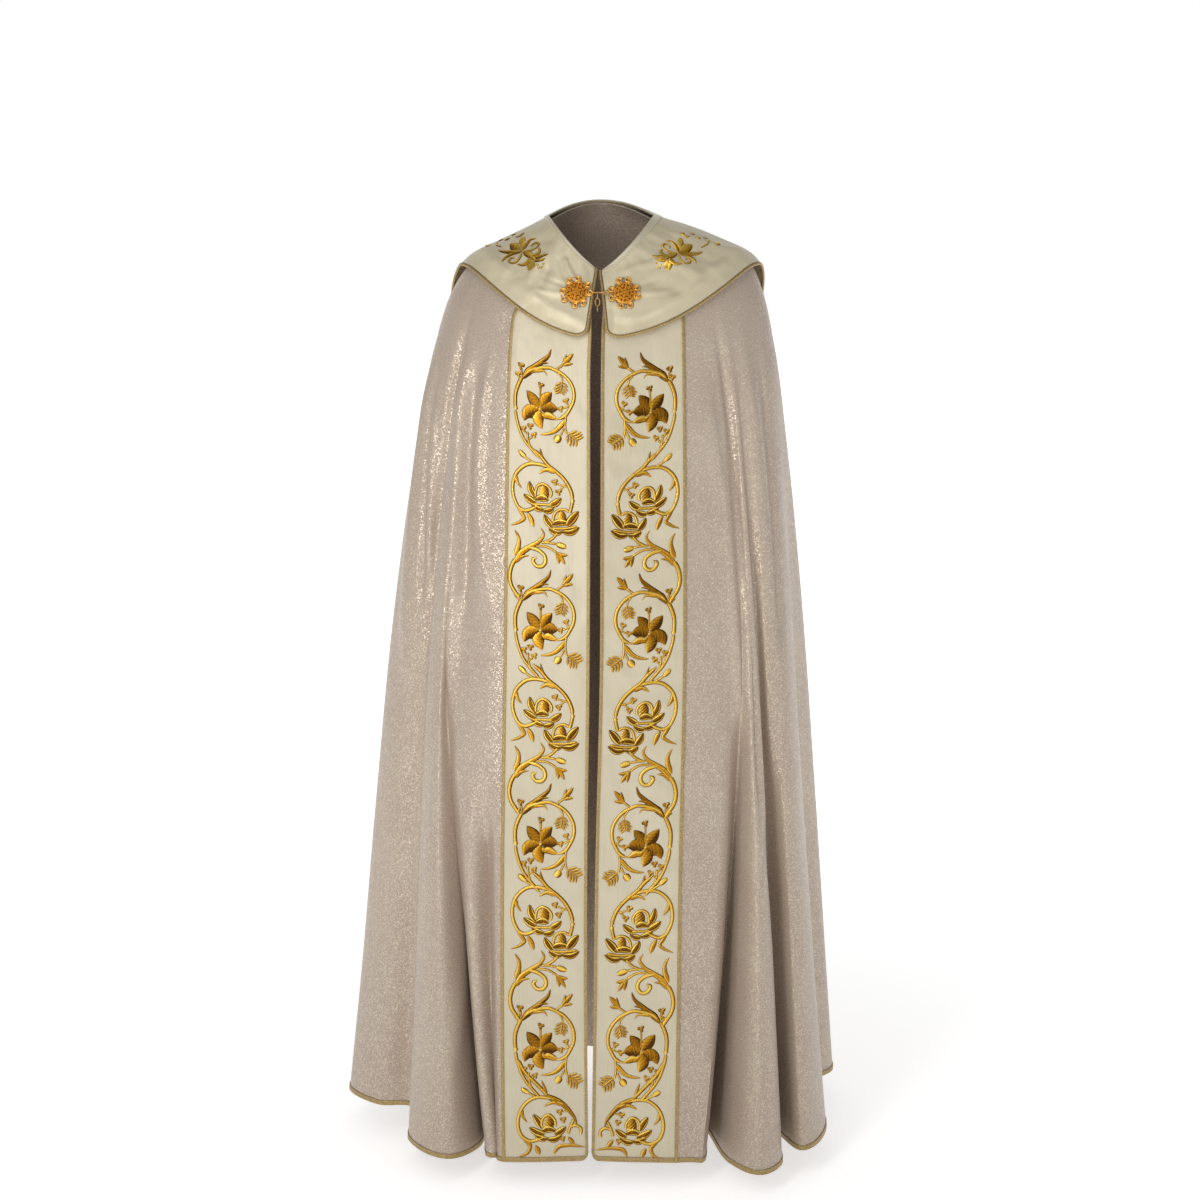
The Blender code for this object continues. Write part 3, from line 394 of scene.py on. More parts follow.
ROSE = [
    Stitch("stem", 5.9, 0.0, ((56.8, -51.8), (47.2, -43.2), (42.4, -37.5), (32.9, -29.8), (25.2, -22.2),
                              (19.5, -12.6), (17.1, -4), (16.9, 0))),
    Stitch("stem", 5.4, 0.0, ((16.9, 1), (17.8, 5.6), (19.6, 12))),
    Stitch("knot", 6.6, 0.8, ((16.8, -2), (16.8, 2))),
    Stitch("horn", 6.5, -0.2, ((44, -38), (47.3, -44.6), (49.4, -53))),
    Stitch("stem", 5.5, 0.6, ((39, -33.4), (44.3, -35.5), (53, -37), (61.6, -36), (69.2, -31.2),
                              (74.5, -24.1), (76.9, -15.5), (76.9, -6.9), (74.5, 0.8), (70.2, 7.5),
                              (64.4, 9.9), (58.7, 8.4),
                              (52, 4.8))),
    Stitch("sprig", 3.6, 0.5, ((54, -37), (59, -39.6), (64.6, -42.8))),
    Stitch("bud", 8.4, 1.0, ((63.4, -42.2), (71.6, -49))),
    Stitch("horn", 8.6, 1.0, ((33, -29), (43.4, -31.7), (50.4, -27.6))),
    Stitch("horn", 7.5, 0.7, ((74.2, -24.8), (72.6, -18), (68, -12))),
    Stitch("fill", 14.6, -0.1, ((45.4, -16.2), (44.6, -1.4))),
    Stitch("stem", 4.4, 0.6, ((54, -4.6), (53.4, -10), (52, -14.6), (47.2, -17.4), (41.5, -15.2),
                              (37.9, -9.7), (38.9, -3.6))),
    Stitch("petal", 10.9, 0.4, ((53, -2.4), (58.2, -10.7), (60, -19.6))),
    Stitch("petal", 11.3, 0.4, ((52.4, 2.2), (59.6, -1.1), (66, -6.4))),
    Stitch("petal", 10.9, 0.4, ((40, 4), (33.8, 1.7), (27.8, -3.4))),
    Stitch("petal", 11.1, 0.2, ((40.6, -1), (46, -3.4), (54, -1.6))),
    Stitch("petal", 9.8, 0.3, ((58, 3.6), (50, 7.8), (44.4, 8.6))),
    Stitch("petal", 9.8, 0.3, ((46.4, 9.4), (41, 9.4), (34.8, 6.4))),
    Stitch("stem", 4.3, 0.3, ((55, 3), (47, 3.2), (37, 3.6))),
    Stitch("fill", 13.0, -0.2, ((27.6, 9.4), (26.8, 23.4))),
    Stitch("stem", 4.3, 0.5, ((36.2, 20.4), (35.7, 16), (33.9, 11.4), (29.6, 8.5), (24.3, 8.5),
                              (19.6, 11.4))),
    Stitch("petal", 10.9, 0.2, ((36.6, 26), (41.5, 19.9), (45, 12.8))),
    Stitch("petal", 12.7, 0.0, ((22.6, 25), (17.6, 18.9), (10.8, 11))),
    Stitch("petal", 11.1, 0.0, ((37.4, 23), (29, 21.2), (19.4, 23.4))),
    Stitch("petal", 9.8, 0.2, ((40.6, 27), (33, 31.4), (26.4, 30.8))),
    Stitch("petal", 9.8, 0.0, ((27.4, 30.8), (18.6, 32), (9.8, 27.4))),
    Stitch("stem", 4.3, 0.1, ((39, 26.6), (27, 27.6), (12, 26.4))),
    Stitch("sprig", 2.8, 0.2, ((22, -14.6), (27.4, -16), (32.4, -18))),
    Stitch("sprig", 2.8, 0.2, ((25, -15.4), (29, -11.6))),
    Stitch("floret", 11.5, 0.4, ((34.4, -19.4),)),
    Stitch("floret", 11.5, 0.2, ((30.6, -9.4),)),
    Stitch("horn", 7.5, 0.6, ((73.2, 3), (67.8, 12.3), (65, 17.4), (69.2, 21.2), (79, 25.6))),
    Stitch("leaf", 7.9, 0.7, ((62.2, 10.8), (58.2, 18), (55.4, 26))),
    Stitch("stem", 4.1, 0.3, ((31.6, 31.8), (36.7, 37.1), (45.6, 41.6))),
    Stitch("horn", 10.4, 0.8, ((75, 61), (66.3, 50.5), (57.7, 44.8), (49.1, 39), (45.3, 32.3), (48.6, 25.6))),
    Stitch("horn", 9.4, 0.7, ((74.4, 55), (70.6, 45), (70.4, 37.1), (74.6, 29.6))),
    Stitch("horn", 6.8, 0.5, ((74.6, 62), (66.3, 55.3), (59.4, 54.2))),
    Stitch("stem", 6.3, 0.3, ((73, 57), (77.6, 66), (79.2, 77.3), (77.3, 84.9), (73, 91.6), (68.6, 98))),
    Stitch("stem", 5.9, 0.8, ((60, 46), (56.8, 46.7), (49.1, 49.5), (44.3, 54.3), (43.4, 60.1), (47.2, 64.8),
                              (53, 63.9), (55.8, 58.1), (52.6, 56))),
    Stitch("sprig", 3.6, 0.4, ((48, 41), (40, 41.4), (32.9, 42.8))),
    Stitch("bud", 9.1, 0.7, ((33.4, 42.6), (22.4, 46.6))),
    Stitch("sprig", 3.6, 0.4, ((53, 44.4), (41.5, 45.7), (31.9, 51.5))),
    Stitch("leaf", 6.1, 0.3, ((33, 51), (27.4, 54), (21.2, 54.6))),
    Stitch("leaf", 6.4, 0.4, ((32.8, 51), (28, 57), (23.8, 64))),
    Stitch("leaf", 6.1, 0.0, ((33.2, 51), (30.8, 56.6), (30.2, 63))),
]
FOOT_ROSE = [
    Stitch("stem", 5.9, 0.1, ((72.1, 10.7), (64.4, 23.6), (53.8, 34.3), (43.2, 45))),
    Stitch("horn", 10.9, -0.2, ((46, 44.6), (38, 49), (31.4, 52), (20.8, 61.4), (15.6, 69), (13.2, 76))),
    Stitch("horn", 6.5, 0.3, ((43.6, 47), (45.6, 38), (48.3, 30.8))),
    Stitch("sprig", 3.6, 0.5, ((52, 48.4), (57, 46), (62, 43.2))),
    Stitch("bud", 8.1, 1.0, ((61, 44), (69, 39.4))),
    Stitch("stem", 5.4, 0.6, ((36.4, 49.6), (43.2, 48.2), (55, 48.4), (65.6, 55.5), (71.5, 67.3),
                              (72.1, 77.9), (68, 87.3), (59.7, 91.5), (47.9, 88.5))),
    Stitch("horn", 7.8, 0.9, ((26, 55.4), (37.3, 53.1), (46.2, 57))),
    Stitch("horn", 7.0, 0.7, ((69, 59), (67.4, 67.3), (62.8, 73))),
    Stitch("sprig", 2.6, 0.2, ((21, 61), (28, 62.4))),
    Stitch("floret", 11.2, 0.4, ((30.4, 62.6),)),
    Stitch("floret", 10.9, 0.3, ((27, 70.4),)),
    Stitch("floret", 10.4, 0.4, ((27.9, 89.5),)),
    Stitch("stem", 4.6, 0.4, ((16.4, 70), (20, 77.2), (22.4, 84.6))),
    Stitch("stem", 4.9, 0.5, ((20.2, 77.9), (14.9, 76.1), (9.4, 79.6), (9.8, 85.4))),
    Stitch("leaf", 6.6, 0.6, ((15.8, 96), (22.6, 87.4))),
    Stitch("horn", 7.3, 0.6, ((37, 105), (32.6, 98), (22, 96.2), (4.5, 98.4))),
    Stitch("fill", 14.0, -0.1, ((40.8, 66.2), (41.4, 81.6))),
    Stitch("stem", 4.4, 0.6, ((48.4, 78), (48.6, 72), (45.6, 66.9), (40.8, 65.6), (36.1, 69.8),
                              (34.4, 77.4))),
    Stitch("petal", 10.9, 0.4, ((48.6, 79), (52, 72), (57, 64.8))),
    Stitch("petal", 11.3, 0.4, ((45.6, 85.4), (53, 83), (61.2, 77.8))),
    Stitch("petal", 10.9, 0.4, ((36, 85), (30, 82), (24.4, 77.2))),
    Stitch("petal", 10.9, 0.2, ((49, 82), (42, 79.6), (34, 82))),
    Stitch("petal", 9.8, 0.3, ((55.6, 84.8), (48, 89.4), (41, 89))),
    Stitch("petal", 9.8, 0.3, ((43, 90), (36, 90), (28.6, 86))),
    Stitch("horn", 7.5, 0.6, ((67.4, 89), (60.3, 96.8), (62.1, 102), (72.5, 108))),
    Stitch("leaf", 7.7, 0.7, ((55.4, 95.6), (53, 100), (51, 105.6))),
]
# A motif's place on an orphrey, in mm: a chart point (a, b) lies start + pitch * a across the orphrey from
# its inner edge, and along + slant * a + drop * b down it from its top.
Motif = namedtuple("Motif", "rows start pitch along slant drop")
BAND_MOTIFS = {
    "left": [
        Motif(LILY, 0.2, 1.515, 149.7, 0.411, 1.426),
        Motif(ROSE, 0.7, 1.482, 287.0, 0.286, 1.434),
        Motif(LILY, 0.2, 1.467, 474.2, 0.219, 1.440),
        Motif(ROSE, -0.7, 1.458, 601.7, 0.160, 1.451),
        Motif(LILY, -2.8, 1.457, 788.3, 0.117, 1.463),
        Motif(ROSE, -3.5, 1.458, 908.8, 0.073, 1.477),
        Motif(LILY, -3.1, 1.460, 1095.7, 0.032, 1.485),
        Motif(FOOT_ROSE, -3.4, 1.463, 1097.0, -0.005, 1.490),
    ],
    "right": [
        Motif(LILY, -0.2, 1.484, 152.2, 0.303, 1.429),
        Motif(ROSE, 0.1, 1.467, 287.9, 0.224, 1.435),
        Motif(LILY, -0.4, 1.460, 474.7, 0.173, 1.443),
        Motif(ROSE, -0.7, 1.457, 601.9, 0.122, 1.456),
        Motif(LILY, 0.6, 1.456, 788.8, 0.083, 1.466),
        Motif(ROSE, 0.7, 1.457, 909.4, 0.046, 1.478),
        Motif(LILY, -1.0, 1.460, 1094.9, 0.010, 1.486),
        Motif(FOOT_ROSE, -1.2, 1.462, 1095.8, -0.016, 1.490),
    ],
}

# the spray on each side of the hood, in mm across towards the front and down from its own middle
SprayPlace = namedtuple("SprayPlace", "fall bearing down_scale across_scale size")
HOOD_SPOTS = {
    "left": SprayPlace(0.0705, 56.75, 0.94, 0.1523, 1.0),
    "right": SprayPlace(0.0535, 311.25, 1.015, 0.1602, 0.90),
}
# painted light: these shades are set brighter than the orphreys' because the hood's shoulders turn away from
# the front light
HOOD_SPRAY = [
    Stitch("leaf", 10.2, 2.7, ((-12, -6), (-22, -9), (-32, -13))),
    Stitch("lobe", 18.8, 1.5, ((0, 0), (-16, 3), (-32, 7))),
    Stitch("horn", 11.6, 1.2, ((0, 2), (-10, 12), (-20, 22), (-30, 28))),
    Stitch("horn", 8.7, 1.2, ((-1, 3), (-6, 11), (-8, 20), (-7, 29), (-3, 37))),
    Stitch("stem", 3.8, 0.9, ((3, 4), (8, 11), (10, 20), (6, 27), (1, 27), (-1, 21), (3, 17))),
    Stitch("horn", 8.0, 1.1, ((-2, 0), (-7, -5), (-11, -11), (-14, -19), (-9, -27))),
    Stitch("stem", 3.8, 0.9, ((2, -1), (6, -6), (9, -12), (9, -20), (4, -25), (-2, -23), (-3, -17),
                              (1, -15))),
    Stitch("lobe", 11.6, 1.9, ((0, 0), (8, -2), (19, -4), (29, -4))),
    Stitch("horn", 8.7, 1.5, ((18, -5), (22, -12), (19, -19), (12, -21))),
    Stitch("horn", 8.7, 1.4, ((24, -6), (29, -12), (33, -18), (35, -25))),
    Stitch("horn", 7.2, 1.4, ((27, -3), (33, -6), (37, -11), (38, -17))),
    Stitch("horn", 9.4, 1.5, ((20, -2), (23, 6), (21, 15), (14, 21))),
    Stitch("lobe", 13.0, 2.3, ((21, 0), (29, 6), (36, 16))),
    Stitch("leaf", 7.2, 2.3, ((25, 0), (33, 4), (38, 11))),
    Stitch("dot", 3.6, 1.4, ((43, 1),)),
    Stitch("dot", 3.6, 1.4, ((45, -3),)),
    Stitch("dot", 3.6, 1.4, ((39, -1),)),
    Stitch("dot", 3.6, 1.4, ((43, -9),)),
    Stitch("horn", 6.5, 1.6, ((-49, -16), (-41, -14), (-40, -8), (-46, -5))),
    Stitch("leaf", 5.8, 1.4, ((-64, -2), (-60, -5), (-56, -8))),
    Stitch("leaf", 5.8, 1.4, ((-54, 10), (-52, 6), (-54, 2))),
    Stitch("leaf", 5.8, 1.4, ((-68, 18), (-66, 14), (-63, 10))),
    Stitch("stem", 2.8, 1.0, ((-64, 20), (-50, 24), (-36, 20))),
    Stitch("leaf", 10.2, 2.4, ((-74, 31), (-66, 35), (-56, 36))),
]
STITCH_STEP = 1.3 * MM
STRAIGHT_ROWS = 9  # of a shape whose spine is straight
STRAIGHT_FILL_ROWS = 17
STITCH_COLUMNS = {"petal": 14, "lobe": 14, "fill": 14, "leaf": 10, "horn": 10}
PLAIN_COLUMNS = 8
STITCH_HEIGHT = 1.4 * MM
STITCH_STEEPNESS = 0.75  # greatest height as a share of the half width
THINNEST_STITCH = 0.12 * MM
KEEL_DEPTH = 0.25 * MM  # of a stitch's underside in the satin
# painted shade on a stitch's sunk underside
KEEL_PAINTED_SHADE = -0.6
TONE_GROUND = -0.35
TONE_OF_SHADE = 0.45
# painted light: how much paler the thread is painted on the side that turns towards the light, and darker on
# the far side
PAINTED_SIDE_LIGHT = 1.2
FLORET_TURNS = (90, 210, 330)
FLORET_TWIST = 37  # degrees to a unit of shade, so that no two florets lie alike
FLORET_LEAF = 0.46  # widths here are shares of the row's width
FLORET_DOT = 0.28
SAW_PAIRS = 4
SAW_LEAF = 0.2
SAW_RUN = 0.86  # share of the midrib that bears leaflets
SAW_SLANT = 0.75
SAW_LONGEST = (0.35, 1.35)  # where on the midrib, and how long
SAW_SHORTENING = 0.9
SAW_BRIGHTER = 0.5
SAW_HANDS = 0.2
CHART_SQUARE = 1.46  # mm


# ---------------------------------------------------------------- settings a user may change
def colour_property(name, description, code):
    """A colour setting whose default is an sRGB hex code, kept as the sRGB numbers."""
    channels = [int(code[i:i + 2], 16) / 255 for i in (1, 3, 5)]
    return bpy.props.FloatVectorProperty(
        name=name, description=description, subtype="COLOR_GAMMA", size=3, min=0.0, max=1.0, default=channels)


class ClothSettings(bpy.types.PropertyGroup):
    """Colours and grain of the cloths."""
    lame_ground: colour_property("Lame ground", "Matt thread of the glitter cloth", "#B6A697")
    lame_glitter: colour_property("Lame glitter", "Metal thread of the glitter cloth", "#F4E8D0")
    satin: colour_property("Ivory satin", "Satin of the orphreys", "#CFC5AC")
    hood: colour_property("Hood satin", "Satin of the hood", "#D6CBAE")
    binding: colour_property("Cream satin", "Satin of the neck binding", "#DAD1BA")
    braid: colour_property("Braid", "Dull gold braid, piping and hem", "#B89E6A")
    grain: bpy.props.FloatProperty(
        name="Glitter grain", description="Size of one glint of the glitter cloth", unit="LENGTH",
        default=1.2 * MM, min=0.5 * MM, max=6 * MM)


class EmbroiderySettings(bpy.types.PropertyGroup):
    """Colours and height of the gold work; the shaded and the bright thread paint shade in the grooves and a
    highlight on the crowns.
    """
    dark: colour_property("Shaded thread", "Gold thread in the grooves", "#4A2C05")
    middle: colour_property("Gold thread", "Gold thread between light and shade", "#B87E12")
    light: colour_property("Bright thread", "Gold thread on the crowns", "#F4D060")
    height: bpy.props.FloatProperty(
        name="Stitch height", description="How far the thickest stitching stands off the satin",
        unit="LENGTH", default=STITCH_HEIGHT, min=0.2 * MM, max=3 * MM)


class ClaspSettings(bpy.types.PropertyGroup):
    """Colour of the clasp."""
    gilt: colour_property("Gilt", "Polished gilt wire", "#CE9C50")
    dome: colour_property("Gilt dome", "Orange gilt of the filled middle", "#D09236")


class StageSettings(bpy.types.PropertyGroup):
    """Light and floor."""
    key: bpy.props.FloatProperty(
        name="Key light", description="Power of the tall front light", default=14.0, min=0.0, unit="POWER")
    fill: bpy.props.FloatProperty(
        name="Fill light", description="Power of the side light", default=2.0, min=0.0, unit="POWER")
    top: bpy.props.FloatProperty(
        name="Top light", description="Power of the soft light above the hood", default=5.0, min=0.0,
        unit="POWER")
    surround: bpy.props.FloatProperty(
        name="Surround", description="Strength of the white surround in front of the garment", default=0.28,
        min=0.0)
    floor_glow: bpy.props.FloatProperty(
        name="Floor glow", description="Light given off by the floor at the garment's foot", default=0.36,
        min=0.0)
    floor_gap: bpy.props.FloatProperty(
        name="Floor gap", description="Height of the hem above the floor", default=0.03, min=0.0,
        unit="LENGTH")


# ---------------------------------------------------------------- curves and surfaces
def smooth(x, knots, values, gain=1.0):
    """Cubic Hermite curve through (knots, values), with central-difference slopes times a gain."""
    knots = np.asarray(knots, float)
    values = np.asarray(values, float)
    slopes = np.gradient(values, knots) * gain
    i = np.clip(np.searchsorted(knots, x, side="right") - 1, 0, len(knots) - 2)
    span = knots[i + 1] - knots[i]
    t = (x - knots[i]) / span
    return (
        values[i] * (1 + 2 * t) * (1 - t) ** 2
        + values[i + 1] * t**2 * (3 - 2 * t)
        + slopes[i] * span * t * (1 - t) ** 2
        - slopes[i + 1] * span * t**2 * (1 - t)
    )


def rise(x):
    """0 below 0, 1 above 1, smooth between."""
    x = np.clip(x, 0, 1)
    return x * x * (3 - 2 * x)


def unit(vectors):
    """Vectors scaled to length 1, along their last axis."""
    return vectors / np.maximum(np.linalg.norm(vectors, axis=-1, keepdims=True), 1e-12)


def corner_cut(radius, away):
    """How far a rounded corner cuts in at distances away from its side.

    It is radius - sqrt(radius^2 - (radius - away)^2), and 0 farther away than the radius.
    """
    inside = np.clip(radius - np.asarray(away), 0, None)
    return radius - np.sqrt(radius**2 - inside**2)


def travelled(path):
    """Distance along a path of points from its start."""
    return np.concatenate([[0], np.cumsum(np.linalg.norm(np.diff(path, axis=0), axis=1))])


def station(fall, name):
    """A named station column at a distance down the cloth."""
    return smooth(fall, [s.fall for s in STATIONS], [getattr(s, name) for s in STATIONS])


def ring_height(fall, bearing):
    """Height of the ring: round at the back, between a vee and a round at the front."""
    side, vee, cosine = station(fall, "side_z"), station(fall, "vee"), np.cos(bearing)
    front = vee * (1 - np.abs(np.sin(bearing))) + (1 - vee) * np.abs(cosine) ** ROUND_SWEEP
    return np.where(
        cosine >= 0,
        side + (station(fall, "front_z") - side) * front,
        side + (station(fall, "back_z") - side) * cosine**2,
    )


def unfolded(fall, bearing, reach=1.0):
    """Point of the unfolded cloth: an ellipse of the station's half widths and depths, scaled by reach."""
    wide = np.where(np.sin(bearing) >= 0, station(fall, "left"), station(fall, "right"))
    deep = np.where(np.cos(bearing) >= 0, station(fall, "front"), station(fall, "back"))
    x = -wide * reach * np.sin(bearing)
    y = station(fall, "mid_y") - deep * reach * np.cos(bearing)
    return np.stack([x, y, ring_height(fall, bearing)], axis=-1)


def bearing_of(fall, x, y):
    """(bearing, reach) of a plan position on the ring at a distance down the cloth."""
    away_y = y - station(fall, "mid_y")
    across = -x / np.where(x <= 0, station(fall, "left"), station(fall, "right"))
    along = -away_y / np.where(away_y <= 0, station(fall, "front"), station(fall, "back"))
    return np.arctan2(across, along) % (2 * math.pi), np.hypot(across, along)


def edge_bearing(fall, x):
    """Bearing at which the front of the ring passes x."""
    half = station(fall, "left") if x <= 0 else station(fall, "right")
    return float(np.arcsin(-x / half))


def fold_knots(fall):
    """(plan positions, roundness, hang) of every fold on a ring, front edge to front edge."""
    drop = np.clip((fall - TIP_FALL) / (HEM_FALL - TIP_FALL), 0, 1)
    left = edge_bearing(fall, station(fall, "slit_left"))
    right = 2 * math.pi + edge_bearing(fall, station(fall, "slit_right"))
    points, gains, hang = [unfolded(fall, left)], [1.0], [0.0]
    for fold in FOLDS:
        hem_bearing, hem_reach = bearing_of(HEM_FALL, fold.hem_x * MM, fold.hem_y * MM)
        growth = np.clip((drop - fold.start) / (1 - fold.start), 0, 1) ** FOLD_SWELL
        bearing = math.radians(fold.bearing) * (1 - growth) + hem_bearing * growth
        points.append(unfolded(fall, bearing, 1 + (hem_reach - 1) * growth))
        gains.append(1 + (fold.roundness - 1) * growth)
        hang.append(fold.low * MM * growth)
    points.append(unfolded(fall, right))
    return np.array(points)[:, :2], np.array(gains + [1.0]), np.array(hang + [0.0])


def ring(fall):
    """(points, fold numbers) of the cloth on one ring: the folds' curve, sampled at the cloth's columns.

    A fold's place along the curve is the sum of the square roots of the gaps before it.
    """
    knots, gains, hang = fold_knots(fall)
    at_knot = np.concatenate([[0], np.cumsum(np.linalg.norm(np.diff(knots, axis=0), axis=1) ** 0.5)])

    def point(t):
        x, y = smooth(t, at_knot, knots[:, 0], gains), smooth(t, at_knot, knots[:, 1], gains)
        bearing, _ = bearing_of(fall, x, y)
        return np.stack([x, y, ring_height(fall, bearing) - smooth(t, at_knot, hang)], axis=-1)

    def band(start, stop):
        """Parameters of the band's columns, laid off by length from the front edge at start."""
        t = np.linspace(start, stop, BAND_SAMPLES)
        length = travelled(point(t))
        width = min(BAND_WIDTH, BAND_SHARE * length[-1])
        return np.interp(BAND_COLUMNS * width / BAND_WIDTH, length, t)

    left, right = band(at_knot[0], at_knot[2]), band(at_knot[-1], at_knot[-3])[::-1]
    starts = [left[-1], *at_knot[2:-2]]
    stops = [*at_knot[2:-2], right[0]]
    middle = [
        np.linspace(start, stop, fold.columns * FINER + 1)[1:]
        for start, stop, fold in zip(starts, stops, FOLDS[1:])
    ]
    t = np.concatenate([left, *middle[:-1], middle[-1][:-1], right])
    return point(t), np.interp(t, at_knot, np.arange(len(at_knot)))


def outward(grid):
    """Unit normals of a grid of points, from the crossed diagonals of the squares round each point."""
    facing = unit(np.cross(grid[1:, 1:] - grid[:-1, :-1], grid[1:, :-1] - grid[:-1, 1:]))
    normals = np.zeros_like(grid)
    for rows in (slice(None, -1), slice(1, None)):
        for columns in (slice(None, -1), slice(1, None)):
            normals[rows, columns] += facing
    return unit(normals)


def normal_at(fall, bearing, step):
    """Unit normal of the unfolded cloth at a place, from short steps across and down it."""
    across = unfolded(fall, bearing + step) - unfolded(fall, bearing - step)
    down = unfolded(fall + step, bearing) - unfolded(fall - step, bearing)
    return unit(np.cross(across, down))


def lengths(grid):
    """Distance along each row of a grid of points from its first column."""
    steps = np.linalg.norm(np.diff(grid, axis=1), axis=-1)
    return np.concatenate([np.zeros((len(grid), 1)), np.cumsum(steps, axis=1)], axis=1)


def cloak_surface():
    """(points, normals, lengths) of the cloth: the rings, then the corners rounded, then the creases.

    A crease moves each point along its normal by depth * exp(-(distance across / width)^2), fading in and
    out over the ends of its run.
    """
    rings = [ring(fall) for fall in ROW_FALLS]
    grid, numbers = np.array([r[0] for r in rings]), np.array([r[1] for r in rings])
    bands = len(BAND_COLUMNS)
    low = np.clip(1 - (HEM_FALL - ROW_FALLS) / CORNER_RISE_HEIGHT, 0, 1)
    raised = low[:, None] * corner_cut(BAND_CORNER, BAND_COLUMNS)
    grid[:, :bands, 2] += raised
    grid[:, -bands:, 2] += raised[:, ::-1]
    normals, across = outward(grid), lengths(grid)
    pressed = np.zeros(grid.shape[:2])
    for crease in CREASES:
        down = (ROW_FALLS / MM - crease.from_fall) / (crease.to_fall - crease.from_fall)
        place = crease.top + (crease.foot - crease.top) * np.clip(down, 0, 1)
        middle = np.array([np.interp(p, n, a) for p, n, a in zip(place, numbers, across)])
        run = rise(down / CREASE_FADE) * rise((1 - down) / CREASE_FADE)
        apart = (across - middle[:, None]) / (crease.width * MM)
        pressed += crease.depth * MM * np.exp(-apart**2) * run[:, None]
    clear = np.minimum(across - across[:, [bands - 1]], across[:, [-bands]] - across)
    pressed *= rise(clear / CREASE_CLEARANCE)
    grid = grid + normals * pressed[..., None]
    return grid, outward(grid), across


class Patch:
    """A surface read at (across, along) in metres: straight interpolation in a grid of points."""

    def __init__(self, grid, normals, across, along):
        self.grid, self.normals, self.across, self.along = grid, normals, across, along

    def place(self, across, along):
        """(points, normals) at two arrays of distances."""
        i = np.clip(np.searchsorted(self.along, along) - 1, 0, len(self.along) - 2)
        j = np.clip(np.searchsorted(self.across, across) - 1, 0, len(self.across) - 2)
        s = ((along - self.along[i]) / (self.along[i + 1] - self.along[i]))[..., None]
        t = ((across - self.across[j]) / (self.across[j + 1] - self.across[j]))[..., None]

        def between(values):
            top = values[i, j] * (1 - t) + values[i, j + 1] * t
            foot = values[i + 1, j] * (1 - t) + values[i + 1, j + 1] * t
            return top * (1 - s) + foot * s

        return between(self.grid), unit(between(self.normals))


CLOTH, CLOTH_NORMALS, CLOTH_ACROSS = cloak_surface()
BAND_PARTS = {"left": slice(0, len(BAND_COLUMNS)), "right": slice(-len(BAND_COLUMNS), None)}


def band_grid(side, lift):
    """The band's points at a lift off the cloth, inner front edge first, band top row to hem."""
    part = BAND_PARTS[side]
    return CLOTH[BAND_TOP_ROW:, part] + CLOTH_NORMALS[BAND_TOP_ROW:, part] * lift


def band_patch(side):
    """Outer face of an orphrey, read by the distances from its inner edge and from its top."""
    grid = band_grid(side, GAP + BAND_WALL)
    normals = outward(grid)
    along = travelled(grid[:, grid.shape[1] // 2])
    if side == "left":
        return Patch(grid, normals, BAND_COLUMNS, along)
    return Patch(grid[:, ::-1], normals[:, ::-1], BAND_COLUMNS, along)


# ---------------------------------------------------------------- the hood's surface
def hood_edge(bearing, name):
    """Fall or lift of the hood's outer edge at a bearing."""
    bearings = [math.radians(e.bearing) for e in HOOD_EDGE]
    return smooth(np.clip(bearing, 0, 2 * math.pi), bearings, [getattr(e, name) for e in HOOD_EDGE])


def hood_pressed(fall, bearing):
    """How far the hood's creases move its cloth: depth * exp(-(distance to the crease / width)^2)."""
    pressed = np.zeros(np.broadcast(fall, bearing).shape)
    for crease in HOOD_CREASES:
        a = np.array([math.radians(crease.bearing_a) * HOOD_METRIC, crease.fall_a * MM])
        b = np.array([math.radians(crease.bearing_b) * HOOD_METRIC, crease.fall_b * MM])
        here = np.stack(np.broadcast_arrays(bearing * HOOD_METRIC, fall), axis=-1)
        share = np.clip(((here - a) @ (b - a)) / ((b - a) @ (b - a)), 0, 1)
        apart = np.linalg.norm(here - a - share[..., None] * (b - a), axis=-1)
        pressed += crease.depth * MM * np.exp(-(apart / (crease.width * MM)) ** 2)
    return pressed


def hood_lift(fall, bearing):
    """Clearance of the hood over the unfolded cloth: a constant, and more towards its outer edge."""
    down = (fall - BINDING_WIDTH) / (hood_edge(bearing, "fall") - BINDING_WIDTH)
    return HOOD_CLEARANCE + hood_edge(bearing, "lift") * np.clip(down, 0, 1) ** 2


def hood_row(share):
    """(fall, bearing) along one row of the hood.

    Its share is 0 at the neck binding's lower edge, 1 at the outer edge and below 0 for the neckline.
    """
    nominal = BINDING_WIDTH + share * (float(hood_edge(0.0, "fall")) - BINDING_WIDTH) if share >= 0 else 0.0
    down = max(share, 0.0)
    x = {side: HOOD_NECK_EDGES[side] + (HOOD_FOOT_EDGES[side] - HOOD_NECK_EDGES[side]) * down
         for side in ("left", "right")}
    first, last = edge_bearing(nominal, x["left"]), 2 * math.pi + edge_bearing(nominal, x["right"])
    near = np.array(HOOD_CORNER_COLUMNS) / float(station(nominal, "left"))
    middle = np.linspace(first + near[-1], last - near[-1], HOOD_COLUMNS)
    bearing = np.concatenate([first + near[:-1], middle, (last - near[:-1])[::-1]])
    edge = hood_edge(bearing, "fall")
    cut = corner_cut(HOOD_CORNER, HOOD_CORNER_COLUMNS)
    edge[:len(cut)] -= cut
    edge[-len(cut):] -= cut[::-1]
    fall = BINDING_WIDTH + down * (edge - BINDING_WIDTH) if share >= 0 else np.zeros_like(edge)
    return fall, bearing


def hood_surface():
    """(points clear of the cloth, falls, bearings) of the hood, neckline to outer edge."""
    rows = [hood_row(share) for share in (-1.0, *np.linspace(0, 1, HOOD_ROWS))]
    fall, bearing = np.array([r[0] for r in rows]), np.array([r[1] for r in rows])
    points = unfolded(fall, bearing)
    return points + outward(points) * hood_lift(fall, bearing)[..., None], fall, bearing


